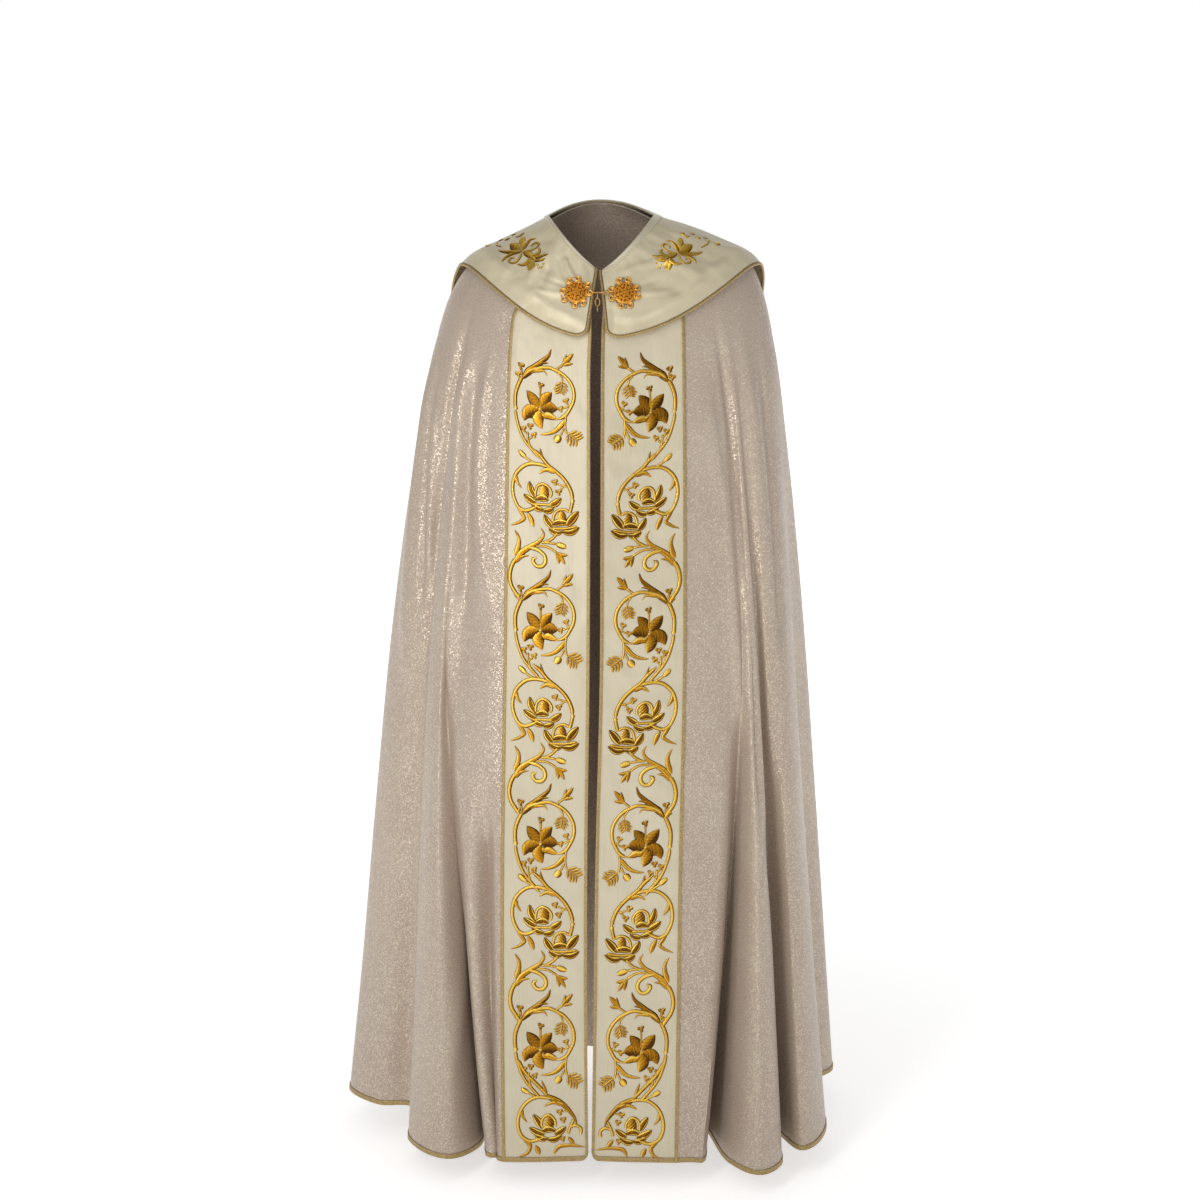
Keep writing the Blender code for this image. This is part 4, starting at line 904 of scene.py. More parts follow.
HOOD, HOOD_FALLS, HOOD_BEARINGS = hood_surface()
HOOD_NORMALS = outward(HOOD)
HOOD_FACE = HOOD + HOOD_NORMALS * (HOOD_WALL + hood_pressed(HOOD_FALLS, HOOD_BEARINGS))[..., None]


def hood_spray_place(side):
    """A place function for the hood's spray: mm across towards the front and down, from its middle."""
    spot = HOOD_SPOTS[side]
    turn = -1.0 if side == "left" else 1.0

    def place(across, along):
        bearing = math.radians(spot.bearing) + turn * across * spot.size / spot.across_scale
        fall = np.maximum(spot.fall + along * spot.size / spot.down_scale, BINDING_WIDTH)
        normals = normal_at(fall, bearing, 0.004)
        lift = hood_lift(fall, bearing) + HOOD_WALL + hood_pressed(fall, bearing)
        return unfolded(fall, bearing) + normals * lift[..., None], normals

    return place


# ---------------------------------------------------------------- meshes
def linear(code):
    """Linear RGBA of an sRGB hex code or of three sRGB numbers."""
    channels = [int(code[i:i + 2], 16) / 255 for i in (1, 3, 5)] if isinstance(code, str) else list(code)
    return [c / 12.92 if c <= 0.04045 else ((c + 0.055) / 1.055) ** 2.4 for c in channels] + [1.0]


def piece(name, points, faces, uv, finish, replaced, tone=None):
    """A mesh object at the origin from arrays, with UV in metres, riding on the garment's body."""
    mesh = bpy.data.meshes.new(name)
    mesh.from_pydata(np.asarray(points).tolist(), [], faces)
    corners = np.empty(len(mesh.loops), np.int32)
    mesh.loops.foreach_get("vertex_index", corners)
    mesh.uv_layers.new(name="UVMap").data.foreach_set("uv", np.asarray(uv)[corners].ravel())
    # the stored level holds painted light and shade as well as the own shading of the thread and the gilt
    if tone is not None:
        mesh.attributes.new("tone", "FLOAT", "POINT").data.foreach_set("value", np.asarray(tone, np.float32))
    mesh.shade_smooth()
    mesh.set_sharp_from_angle(angle=SHARP_ANGLE)
    mesh.materials.append(finish)
    made = bpy.data.objects.new(name, mesh)
    bpy.context.scene.collection.objects.link(made)
    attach(made, "root")
    if replaced:
        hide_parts(*replaced)
    return made


def shell_arrays(outer, inner, uv):
    """(points, faces, uv) of a closed wall between two grids: both faces and the rim round them."""
    rows, columns = outer.shape[:2]
    index = np.arange(rows * columns).reshape(rows, columns)
    a, b, c, d = index[:-1, :-1], index[:-1, 1:], index[1:, 1:], index[1:, :-1]
    front = np.stack([a, b, c, d], -1).reshape(-1, 4)
    loop = np.concatenate([index[0], index[1:, -1], index[-1, -2::-1], index[-2:0:-1, 0]])
    ahead = np.roll(loop, -1)
    under = rows * columns
    rim = np.stack([ahead, loop, loop + under, ahead + under], -1)
    faces = np.concatenate([front, front[:, ::-1] + under, rim])
    points = np.concatenate([outer.reshape(-1, 3), inner.reshape(-1, 3)])
    flat = uv.reshape(-1, 2)
    return points, faces, np.concatenate([flat, flat])


def shell(name, outer, inner, uv, finish, replaced):
    """A closed wall of cloth between two grids."""
    points, faces, uv = shell_arrays(outer, inner, uv)
    return piece(name, points, faces.tolist(), uv, finish, replaced)


def cut_uv(across, falls):
    """UV in metres on the flat cut.

    The radius is CUT_RADIUS + fall, and the angle CUT_ANGLE * the share of the row's length.
    """
    angle = CUT_ANGLE * across / across[:, -1:]
    radius = CUT_RADIUS + np.asarray(falls)[:, None]
    return np.stack([radius * np.sin(angle - CUT_ANGLE / 2), radius * np.cos(angle - CUT_ANGLE / 2)], -1)


def frames_along(path, closed):
    """(sides, ups) across a path, carried without twist from a first side vector."""
    tangents = np.roll(path, -1, axis=0) - np.roll(path, 1, axis=0) if closed else np.gradient(path, axis=0)
    tangents = unit(tangents)
    start = (0.0, 0.0, 1.0) if abs(tangents[0, 2]) < 0.9 else (1.0, 0.0, 0.0)
    side = np.cross(tangents[0], start)
    sides = []
    for tangent in tangents:
        side = unit(side - tangent * (side @ tangent))
        sides.append(side)
    return np.array(sides), np.cross(tangents, sides)


def tube_faces(rows, columns, closed=False):
    """Faces of a tube of rows of points, its two ends capped, or joined if it is closed."""
    index = np.arange(rows * columns).reshape(rows, columns)
    if closed:
        index = np.concatenate([index, index[:1]])
    turned = np.roll(index, -1, 1)
    faces = np.stack([index[:-1], turned[:-1], turned[1:], index[1:]], -1).reshape(-1, 4).tolist()
    return faces if closed else faces + [index[0, ::-1].tolist(), index[-1].tolist()]


def rope_arrays(path, radius, sides=8, closed=False, strands=0, pitch=0.004, depth=0.0):
    """(points, faces, uv) of a round or twisted cord along a path.

    The radius at angle q and distance s is radius * (1 + depth * cos(strands * q - 2 pi s / pitch)).
    """
    path = np.asarray(path, float)
    side, up = frames_along(path, closed)
    s = travelled(path)
    q = np.arange(sides) * 2 * math.pi / sides
    r = radius * (1 + depth * np.cos(strands * q[None, :] - 2 * math.pi * s[:, None] / pitch))
    spokes = side[:, None] * np.cos(q)[None, :, None] + up[:, None] * np.sin(q)[None, :, None]
    points = path[:, None] + spokes * r[..., None]
    uv = np.stack(np.broadcast_arrays(s[:, None], (q * radius)[None, :]), -1)
    return points.reshape(-1, 3), tube_faces(len(path), sides, closed), uv.reshape(-1, 2)


def joined(parts):
    """One set of (points, faces, uv, tone) from many."""
    points, faces, uv, tone, start = [], [], [], [], 0
    for part in parts:
        points.append(part[0])
        uv.append(part[2])
        tone.append(part[3] if len(part) > 3 else np.zeros(len(part[0])))
        faces += [[start + i for i in face] for face in part[1]]
        start += len(part[0])
    return np.concatenate(points), faces, np.concatenate(uv), np.concatenate(tone)


def resampled(path, step):
    """Points of a path at even steps of about a given length."""
    path = np.asarray(path, float)
    s = travelled(path)
    even = np.linspace(0, s[-1], max(int(round(s[-1] / step)) + 1, 3))
    return np.stack([smooth(even, s, path[:, k]) for k in range(path.shape[1])], axis=-1)


# ---------------------------------------------------------------- materials
def node(tree, kind, inputs=(), **settings):
    """One node with its settings, its inputs set to values or joined to other nodes' outputs.

    Inputs are given in the node's own order, or by their names or numbers.
    """
    made = tree.nodes.new(kind)
    for name, value in settings.items():
        setattr(made, name, value)
    for name, value in inputs.items() if isinstance(inputs, dict) else enumerate(inputs):
        if isinstance(value, bpy.types.NodeSocket):
            tree.links.new(value, made.inputs[name])
        else:
            made.inputs[name].default_value = value
    return made


def new_finish(name, **constants):
    """(material, tree, shader) with a Principled shader and its constant sockets."""
    made = bpy.data.materials.new(name)
    made.use_nodes = True
    shader = made.node_tree.nodes["Principled BSDF"]
    for socket, value in constants.items():
        shader.inputs[socket.replace("_", " ")].default_value = value
    return made, made.node_tree, shader


def joined_to(tree, shader, **sources):
    """Join outputs to the shader's sockets of those names."""
    for socket, source in sources.items():
        tree.links.new(source, shader.inputs[socket.replace("_", " ")])


def uv_scaled(tree, across, down):
    """The UV in metres, counted in patterns of a given size across and down, in mm."""
    uv = node(tree, "ShaderNodeUVMap", uv_map="UVMap")
    scale = (1 / (across * MM), 1 / (down * MM), 1.0)
    return node(tree, "ShaderNodeMapping", {"Vector": uv.outputs[0], "Scale": scale}).outputs[0]


def shaded(tree, value, low, high, first, last, most=1.0):
    """A colour that goes from a first to a last one, or most of the way, as a value goes from low to high."""
    share = node(tree, "ShaderNodeMapRange", (value, low, high, 0.0, most))
    return node(tree, "ShaderNodeMix", {0: share.outputs[0], 6: first, 7: last}, data_type="RGBA").outputs[2]


def tinted(colour, red, green, blue):
    """A linear colour with its channels multiplied, none above 1."""
    return [min(channel * share, 1.0) for channel, share in zip(colour, (red, green, blue))] + [1.0]


def levelled(tree, pattern, strength):
    """The level stored on the mesh, which holds painted light and shade besides each part's own shading, plus
    a pattern's distance from its mean, times a strength.
    """
    tone = node(tree, "ShaderNodeAttribute", attribute_name="tone")
    level = node(tree, "ShaderNodeMath", (pattern, 0.5), operation="SUBTRACT")
    return node(tree, "ShaderNodeMath", (level.outputs[0], strength, tone.outputs["Fac"]),
                operation="MULTIPLY_ADD").outputs[0]


def lame_finish(cloth):
    """Lame: polyester warp with metallised weft. Matt taupe seen aslant, pale glints where it faces."""
    made, tree, shader = new_finish("woven_lame", Specular_IOR_Level=0.35, Sheen_Weight=0.12,
                                    Sheen_Roughness=0.5)
    # a glint is one float of metal thread, 0.3 mm long on the cloth, drawn coarser so that it shows
    grain = cloth.grain / MM
    cells = node(tree, "ShaderNodeTexVoronoi", {"Vector": uv_scaled(tree, grain, grain), "Scale": 1.0})
    chance = node(tree, "ShaderNodeSeparateColor", {"Color": cells.outputs["Color"]})
    glint = node(tree, "ShaderNodeMapRange", (chance.outputs[0], 0.6, 0.95, 0.0, 1.0)).outputs[0]
    # soft cloudy variation of the dye, 90 mm
    clouds = node(tree, "ShaderNodeTexNoise",
                  {"Vector": uv_scaled(tree, 90, 160), "Scale": 1.0, "Detail": 2.0})
    base = linear(cloth.lame_ground)
    ground = shaded(tree, clouds.outputs[0], 0.35, 0.65, tinted(base, 0.95, 0.92, 0.93), base)
    # metal thread is brighter, more metallic and glossier, and each glint is tipped its own way
    metallic = node(tree, "ShaderNodeMapRange", (glint, 0.0, 1.0, 0.1, 0.7))
    roughness = node(tree, "ShaderNodeMapRange", (glint, 0.0, 1.0, 0.5, 0.3))
    tilt = node(tree, "ShaderNodeMapRange", (glint, 0.0, 1.0, 0.05, 0.28))
    tip = node(tree, "ShaderNodeVectorMath", (cells.outputs["Color"], (0.5, 0.5, 0.5)), operation="SUBTRACT")
    tip = node(tree, "ShaderNodeVectorMath", {0: tip.outputs[0], "Scale": tilt.outputs[0]}, operation="SCALE")
    face = node(tree, "ShaderNodeNewGeometry")
    tipped = node(tree, "ShaderNodeVectorMath", (face.outputs["Normal"], tip.outputs[0]), operation="ADD")
    tipped = node(tree, "ShaderNodeVectorMath", (tipped.outputs[0],), operation="NORMALIZE")
    # ribs of the weave, 0.8 mm apart on the cloth, drawn 2 mm apart
    ribs = node(tree, "ShaderNodeTexWave",
                {"Vector": uv_scaled(tree, 2.0, 2.0), "Scale": 0.16, "Distortion": 1.0})
    weave = node(tree, "ShaderNodeBump",
                 {"Height": ribs.outputs["Fac"], "Distance": 0.1 * MM, "Strength": 0.4,
                  "Normal": tipped.outputs[0]})
    joined_to(tree, shader, Metallic=metallic.outputs[0], Roughness=roughness.outputs[0],
              Normal=weave.outputs[0],
              Base_Color=shaded(tree, glint, 0.0, 1.0, ground, linear(cloth.lame_glitter), 0.55))
    return made


# each satin's colour setting, how deep it puckers in metres, the strength of its streaks, its metallic share
Satin = namedtuple("Satin", "colour pucker streak gloss")
SATINS = {
    "duchesse_satin": Satin("satin", 0.0036, 0.6, 0.12),
    "hood_duchesse_satin": Satin("hood", 0.0060, 0.08, 0.17),
    "binding_satin": Satin("binding", 0.0004, 0.1, 0.3),
}


def satin_finish(name, cloth):
    """Duchesse satin: floated threads give a soft long sheen; stitching pulls it into shallow puckers."""
    satin = SATINS[name]
    made, tree, shader = new_finish(
        name, Roughness=0.46 - 0.4 * satin.gloss, Metallic=satin.gloss, Specular_IOR_Level=0.6,
        Sheen_Weight=0.15, Sheen_Roughness=0.4, Anisotropic=0.4)
    # satin threads, 0.2 mm, drawn as 1.6 mm streaks, and clouds of the dye, 60 mm
    streaks, clouds = (
        node(tree, "ShaderNodeTexNoise", {"Vector": uv_scaled(tree, *size), "Scale": 1.0, "Detail": 2.0})
        for size in ((1.6, 40), (60, 120)))
    base = linear(getattr(cloth, satin.colour))
    shade = shaded(tree, clouds.outputs[0], 0.3, 0.7, tinted(base, 0.93, 0.92, 0.88), base)
    shade = shaded(tree, streaks.outputs[0], 0.3, 0.7, shade, tinted(base, 1.08, 1.08, 1.08), satin.streak)
    # the stitching pulls it up every 34 mm or so
    pucker = node(tree, "ShaderNodeTexNoise",
                  {"Vector": uv_scaled(tree, 34, 48), "Scale": 1.0, "Detail": 1.5})
    pulled = node(tree, "ShaderNodeBump",
                  {"Height": pucker.outputs[0], "Distance": satin.pucker, "Strength": 1.0})
    thread = node(tree, "ShaderNodeBump",
                  {"Height": streaks.outputs[0], "Distance": 0.08 * MM, "Strength": 0.35,
                   "Normal": pulled.outputs[0]})
    joined_to(tree, shader, Base_Color=shade, Normal=thread.outputs[0])
    return made


def thread_finish(gold):
    """Machine embroidery in metallised viscose: satin stitches, with a painted highlight on the crown and
    painted brown shade in the grooves, from the level stored on the mesh.
    """
    made, tree, shader = new_finish("gold_embroidery_thread", Roughness=0.32, Metallic=0.88)
    # stitches lie across the shape, 0.4 mm apart, drawn 1.2 mm apart
    stitches = node(tree, "ShaderNodeTexWave",
                    {"Vector": uv_scaled(tree, 1.2, 1.2), "Scale": 0.16, "Distortion": 1.6, "Detail": 1.0},
                    bands_direction="X")
    streak = node(tree, "ShaderNodeTexNoise",
                  {"Vector": uv_scaled(tree, 1.3, 7), "Scale": 1.0, "Detail": 2.0})
    level = levelled(tree, streak.outputs[0], 1.1)
    low = shaded(tree, level, -0.9, 0.0, linear(gold.dark), linear(gold.middle))
    bump = node(tree, "ShaderNodeBump",
                {"Height": stitches.outputs["Fac"], "Distance": 0.2 * MM, "Strength": 0.6})
    joined_to(tree, shader, Base_Color=shaded(tree, level, 0.0, 0.9, low, linear(gold.light)),
              Normal=bump.outputs[0])
    return made


def braid_finish(cloth):
    """Dull gold gimp braid: flat metal thread over cotton, with a painted highlight on each raised point
    where threads cross and painted shade between them.
    """
    made, tree, shader = new_finish("dull_gold_braid", Roughness=0.46, Metallic=0.55)
    dots = node(tree, "ShaderNodeTexVoronoi",
                {"Vector": uv_scaled(tree, 1.8, 2.2), "Scale": 1.0, "Randomness": 0.5})
    base = linear(cloth.braid)
    point = node(tree, "ShaderNodeMapRange", (dots.outputs["Distance"], 0.0, 0.55, 1.0, 0.0)).outputs[0]
    bump = node(tree, "ShaderNodeBump", {"Height": point, "Distance": 0.3 * MM, "Strength": 0.7})
    # painted light: the colour follows the bump, paler on each raised point and darker between them
    joined_to(tree, shader, Normal=bump.outputs[0], Base_Color=shaded(
        tree, point, 0.0, 1.0, tinted(base, 0.7, 0.7, 0.7), tinted(base, 1.55, 1.55, 1.55)))
    return made


def gilt_finish(name, colour, rough):
    """Gilt brass wire, polished: a painted highlight on its crowns and painted dark brown shade on its sides,
    from the level stored on the mesh, and noise tarnish that darkens and dulls it in patches.
    """
    made, tree, shader = new_finish(name, Metallic=1.0)
    base = linear(colour)
    tarnish = node(tree, "ShaderNodeTexNoise",
                   {"Vector": uv_scaled(tree, 1.2, 1.2), "Scale": 1.0, "Detail": 3.0})
    level = levelled(tree, tarnish.outputs[0], 1.0)
    # painted shade: dark brown where the level is low, on the wire's sides; painted highlight: paler where it
    # is high, on its crowns
    shade = shaded(tree, level, -0.3, 0.5, tinted(base, 0.22, 0.13, 0.10), base)
    dulled = node(tree, "ShaderNodeMapRange", (tarnish.outputs[0], 0.3, 0.7, rough, rough + 0.16))
    joined_to(tree, shader, Roughness=dulled.outputs[0],
              Base_Color=shaded(tree, level, 0.5, 1.0, shade, tinted(base, 1.5, 1.5, 1.5)))
    return made


def finish(name):
    """The named finish, made once from the scene's settings."""
    scene = bpy.context.scene
    makers = {
        "woven_lame": lambda: lame_finish(scene.cope_cloth),
        "gold_embroidery_thread": lambda: thread_finish(scene.cope_embroidery),
        "dull_gold_braid": lambda: braid_finish(scene.cope_cloth),
        "gilt_wire": lambda: gilt_finish(name, scene.cope_clasp.gilt, 0.24),
        "gilt_dome": lambda: gilt_finish(name, scene.cope_clasp.dome, 0.5),
    }
    if name in SATINS:
        makers[name] = lambda: satin_finish(name, scene.cope_cloth)
    return bpy.data.materials.get(name) or makers[name]()


# ---------------------------------------------------------------- the embroidery's shapes
def half_widths(kind, t):
    """Half width of a stitched shape along its spine, as a share of its greatest, by kind.

    A stem narrows to half over the last 6 % at each end. A horn swells over its first 22 %, then tapers.
    Knots and fills are ellipses, and petals, lobes and leaves are powers of a sine.
    """
    if kind in ("stem", "sprig"):
        return np.clip(np.minimum(t, 1 - t) / 0.06, 0.5, 1.0)
    if kind == "horn":
        return np.clip((t / 0.22) ** 0.6, 0, 1) * np.clip(1 - t, 0, 1) ** 0.5
    if kind in ("bud", "dot", "knot", "fill"):
        return np.sqrt(np.clip(1 - (2 * t - 1) ** 2, 0, 1))
    if kind in ("petal", "lobe"):
        return np.sin(math.pi * np.clip(t, 0, 1) ** 0.85) ** (0.6 if kind == "petal" else 0.8)
    return np.sin(math.pi * np.clip(t, 0, 1)) ** 0.7


def crown(kind, x, t):
    """(height, tone) of a stitched shape at x from -1 to 1 across it and t from 0 to 1 along it.

    Stems stand as sqrt(1 - x^2) with a painted highlight on the crown. Leaves and horns have a groove along
    their middle, painted in shade. Petals are two corded edges at |x| = 0.64 and a thin rib, painted bright,
    with painted dark shade in the grooves between them. Lobes and a rose's heart are filled with small knots
    whose light and shade are painted, and a lobe has a thin rib with a painted highlight. The edges of stems,
    leaves, horns, petals and lobes are painted dark.
    """
    x, t = np.broadcast_arrays(x[None, :], t[:, None])
    bow = np.sqrt(np.clip(1 - x**2, 0, 1))
    if kind == "petal":
        cord = np.exp(-(((np.abs(x) - 0.64) / 0.2) ** 2))
        rib = np.exp(-((x / 0.15) ** 2))
        height = bow**0.6 * (0.4 + 0.6 * np.maximum(cord, 0.6 * rib))
        return height, -1.5 + 3.2 * cord + 2.2 * rib - 1.2 * x**12
    if kind == "lobe":
        knots = np.sin(40 * t + 6 * x) * np.sin(13 * x + 9 * t)
        rib = np.exp(-((x / 0.08) ** 2)) * np.clip(1.4 - 1.6 * t, 0, 1)
        return bow**0.6 * (0.55 + 0.05 * knots), 0.05 + 0.3 * knots + 0.5 * rib - 1.2 * np.abs(x) ** 8
    if kind == "fill":
        knots = np.sin(34 * t + 3 * x) * np.sin(11 * x + 5 * t)
        return bow**0.6 * (0.5 + 0.25 * knots), 0.1 + 1.2 * knots
    groove = np.exp(-((x / 0.28) ** 2)) if kind in ("leaf", "horn") else 0.0 * x
    return bow * (1 - 0.45 * groove), 0.7 - 1.0 * groove - 2.0 * np.abs(x) ** 3


def stitched(row, motif, place, lit, height):
    """(points, faces, uv, tone) of one stitched shape laid on a surface.

    Its spine is a Hermite curve through the row's chart points, and its underside is sunk just below the
    satin. Painted light: the thread is painted paler on the side that turns towards lit, a direction on the
    satin, and darker on the far side; the sunk underside is painted in shade.
    """
    chart = np.array(row.spine, float)
    spine = np.stack([motif.start + motif.pitch * chart[:, 0],
                      motif.along + motif.slant * chart[:, 0] + motif.drop * chart[:, 1]], axis=-1) * MM
    if len(spine) == 1:
        spine = np.concatenate([spine - [row.width * MM / 2, 0], spine + [row.width * MM / 2, 0]])
    count = STRAIGHT_FILL_ROWS if row.kind == "fill" else STRAIGHT_ROWS
    spine = resampled(spine, STITCH_STEP) if len(spine) > 2 else np.linspace(spine[0], spine[1], count)
    t = np.linspace(0, 1, len(spine))
    along = unit(np.gradient(spine, axis=0))
    side = np.stack([-along[:, 1], along[:, 0]], axis=-1)
    half = np.maximum(half_widths(row.kind, t) * row.width * MM / 2, THINNEST_STITCH)
    x = np.cos(np.linspace(math.pi, 0, STITCH_COLUMNS.get(row.kind, PLAIN_COLUMNS)))
    flat = spine[:, None] + side[:, None] * (x[None, :] * half[:, None])[..., None]
    up, tone = crown(row.kind, x, t)
    up = up * np.minimum(half * STITCH_STEEPNESS, height)[:, None]
    # painted light: paler on the side turned towards lit, darker on the far side
    facing = x[None, :] * (side @ np.asarray(lit))[:, None]
    tone = tone + row.shade * TONE_OF_SHADE + TONE_GROUND + PAINTED_SIDE_LIGHT * facing
    middle, normal = place(spine[:, 0], spine[:, 1])
    points, normals = place(flat[..., 0], flat[..., 1])
    keel = middle - normal * KEEL_DEPTH
    grid = np.concatenate([points + normals * up[..., None], keel[:, None]], axis=1)
    v = np.concatenate([x, [0.0]])[None, :] * half[:, None]
    uv = np.stack([np.broadcast_to(travelled(spine)[:, None], v.shape), v], -1)
    # painted shade on the sunk underside
    tone = np.concatenate([tone, np.full((len(grid), 1), KEEL_PAINTED_SHADE)], axis=1)
    return grid.reshape(-1, 3), tube_faces(*grid.shape[:2]), uv.reshape(-1, 2), tone.ravel()


def floret(row):
    """Three small leaves round a middle knot."""
    centre = np.array(row.spine[0], float)
    reach = row.width / 2 / CHART_SQUARE
    leaves = []
    for degrees in FLORET_TURNS:
        q = math.radians(degrees + FLORET_TWIST * row.shade)
        tip = centre + reach * np.array([math.cos(q), math.sin(q)])
        leaves.append(Stitch("leaf", row.width * FLORET_LEAF, row.shade, (tuple(centre), tuple(tip))))
    return leaves + [Stitch("dot", row.width * FLORET_DOT, row.shade + 0.3, row.spine)]


def sawn(row):
    """A toothed leaf: pairs of leaflets up a midrib, longest below its middle, and one at the tip."""
    start, end = np.array(row.spine, float)
    along = (end - start) / np.linalg.norm(end - start)
    cross = np.array([-along[1], along[0]])
    reach = row.width / 2 / CHART_SQUARE
    width, bright, (where, longest) = row.width * SAW_LEAF, row.shade + SAW_BRIGHTER, SAW_LONGEST
    leaves = [Stitch("leaf", width, bright, (tuple(start), tuple(end)))]
    for k in range(SAW_PAIRS):
        share = (k + 0.5) / SAW_PAIRS
        base = start + (end - start) * share * SAW_RUN
        length = reach * (longest - SAW_SHORTENING * abs(share - where))
        for hand in (-1, 1):
            tip = base + (cross * hand + along * SAW_SLANT) * length
            leaves.append(Stitch("leaf", width, bright + SAW_HANDS * hand, (tuple(base), tuple(tip))))
    return leaves


def opened(rows):
    """The rows with each floret and each toothed leaf written out as its own small leaves."""
    plain = []
    for row in rows:
        plain += floret(row) if row.kind == "floret" else sawn(row) if row.kind == "saw" else [row]
    return plain


def turned_out(part):
    """The part with its faces turned outwards, judged by the volume that they enclose."""
    points, faces = part[0], part[1]
    quads = np.array([f for f in faces if len(f) == 4])
    a, b, c, d = (points[quads[:, k]] for k in range(4))
    centre = points.mean(0)
    volume = np.einsum("ij,ij->i", a - centre, np.cross(c - a, d - b)).sum()
    return part if volume > 0 else (points, [f[::-1] for f in faces], *part[2:])


def embroidered(name, motifs, place, lit):
    """All the stitched shapes of one piece of satin, as one object."""
    height = bpy.context.scene.cope_embroidery.height
    points, faces, uv, tone = joined([
        turned_out(stitched(row, motif, place, lit, height))
        for motif in motifs
        for row in opened(motif.rows)
    ])
    return piece(name, points, faces, uv, finish("gold_embroidery_thread"), (), tone)


# ---------------------------------------------------------------- operators: cloth
class CopeOperator(bpy.types.Operator):
    """Base of the garment's operators."""
    bl_options = {"REGISTER", "UNDO"}


class COPE_OT_cloak(CopeOperator):
    """Lay the cloak of glitter cloth: one shell, front edge to front edge"""
    bl_idname = "cope.cloak"
    bl_label = "Cloak"

    def execute(self, context):
        uv = cut_uv(CLOTH_ACROSS, ROW_FALLS)
        inner = CLOTH - CLOTH_NORMALS * CLOAK_WALL
        shell("cloak_cloth", CLOTH, inner, uv, finish("woven_lame"), ("cope_body",))
        return {"FINISHED"}


class COPE_OT_orphreys(CopeOperator):
    """Lay the two satin orphreys on the front edges"""
    bl_idname = "cope.orphreys"
    bl_label = "Orphreys"

    def execute(self, context):
        for side in BAND_PARTS:
            outer, inner = band_grid(side, GAP + BAND_WALL), band_grid(side, GAP)
            apart = 0.0 if side == "left" else 0.5  # so that the two satins don't show the same streaks
            uv = np.stack(np.meshgrid(BAND_COLUMNS + apart, ROW_FALLS[BAND_TOP_ROW:]), -1)
            made = shell(f"orphrey_satin_{side}", outer, inner, uv, finish("duchesse_satin"),
                         (f"orphrey_{side}",))
        return {"FINISHED"}


def braid_arrays(place, across, along, crown):
    """(points, faces, uv) of a flat braid of diagonal cords that cross in its middle.

    It stands wall + crown * |sin(pi (along / pitch + |x| / 2))| off the satin, x from -1 to 1 across it.
    """
    grid_across, grid_along = np.meshgrid(across, along)
    points, normals = place(grid_across, grid_along)
    x = np.linspace(-1, 1, len(across))[None, :]
    cords = np.abs(np.sin(math.pi * (grid_along / CORD_PITCH + np.abs(x) / 2)))
    up = BRAID_WALL + crown * cords * np.sqrt(np.clip(1.05 - x**2, 0, 1))
    outer = points + normals * (GAP + up)[..., None]
    inner = points + normals * GAP
    return shell_arrays(outer, inner, np.stack([grid_across, grid_along], -1))


class COPE_OT_braids(CopeOperator):
    """Lay the dull gold braids down both sides and along the foot of each orphrey"""
    bl_idname = "cope.braids"
    bl_label = "Orphrey braids"

    def execute(self, context):
        for side in BAND_PARTS:
            patch = band_patch(side)
            order = slice(None) if side == "left" else slice(None, None, -1)

            def lay(name, across, along, crown, solid):
                points, faces, uv = braid_arrays(patch.place, across[order], along, crown)
                piece(name, points, faces.tolist(), uv, finish("dull_gold_braid"), (solid,))

            rows = np.linspace(0, patch.along[-1], BRAID_ROWS)
            for where, start in (("inner", 0.0), ("outer", BAND_WIDTH - BAND_BRAID_WIDTH)):
                across = np.linspace(start, start + BAND_BRAID_WIDTH, BRAID_COLUMNS)
                lay(f"braid_{side}_{where}", across, rows, 0.5 * MM, f"orphrey_braid_{side}_{where}")
            foot = np.linspace(patch.along[-1] - HEM_BRAID_WIDTH, patch.along[-1], BRAID_COLUMNS)
            clear = BAND_BRAID_WIDTH + 2 * GAP
            across = np.linspace(clear, BAND_WIDTH - clear, FOOT_BRAID_COLUMNS)
            lay(f"orphrey_foot_braid_{side}", across, foot, 0.1 * MM, f"orphrey_hem_{side}")
        return {"FINISHED"}


class COPE_OT_hem(CopeOperator):
    """Lay the gold edge round the hem, between the orphreys"""
    bl_idname = "cope.hem"
    bl_label = "Hem edge"

    def execute(self, context):
        first = len(BAND_COLUMNS) - 1
        part = slice(first, -first)
        grid, normals = CLOTH[-HEM_ROWS:, part].copy(), CLOTH_NORMALS[-HEM_ROWS:, part]
        for end, beside in ((0, 1), (-1, -2)):  # its two ends stop just clear of the orphreys
            away = grid[:, beside] - grid[:, end]
            grid[:, end] += away * 2 * GAP / np.linalg.norm(away, axis=1, keepdims=True)
        outer, inner = grid + normals * (GAP + BRAID_WALL), grid + normals * GAP
        uv = np.stack(np.broadcast_arrays(CLOTH_ACROSS[-1:, part], ROW_FALLS[-HEM_ROWS:, None]), -1)
        edge = shell("hem_edge", outer, inner, uv, finish("dull_gold_braid"), ("hem_braid",))
        return {"FINISHED"}


class COPE_OT_hood(CopeOperator):
    """Lay the satin hood with its creases"""
    bl_idname = "cope.hood"
    bl_label = "Hood"

    def execute(self, context):
        uv = np.stack([HOOD_BEARINGS * HOOD_METRIC, HOOD_FALLS], -1)
        pressed = np.minimum(hood_pressed(HOOD_FALLS, HOOD_BEARINGS), 0.0)
        inner = HOOD + HOOD_NORMALS * (HOOD_WALL * HOOD_LINING + pressed)[..., None]
        made = shell("hood_satin", HOOD_FACE, inner, uv, finish("hood_duchesse_satin"),
                     ("hood",))
        return {"FINISHED"}


def border(grid):
    """The grid's open border: down its first column, along its last row and up its last column."""
    return np.concatenate([grid[:-1, 0], grid[-1, :], grid[-2::-1, -1]])


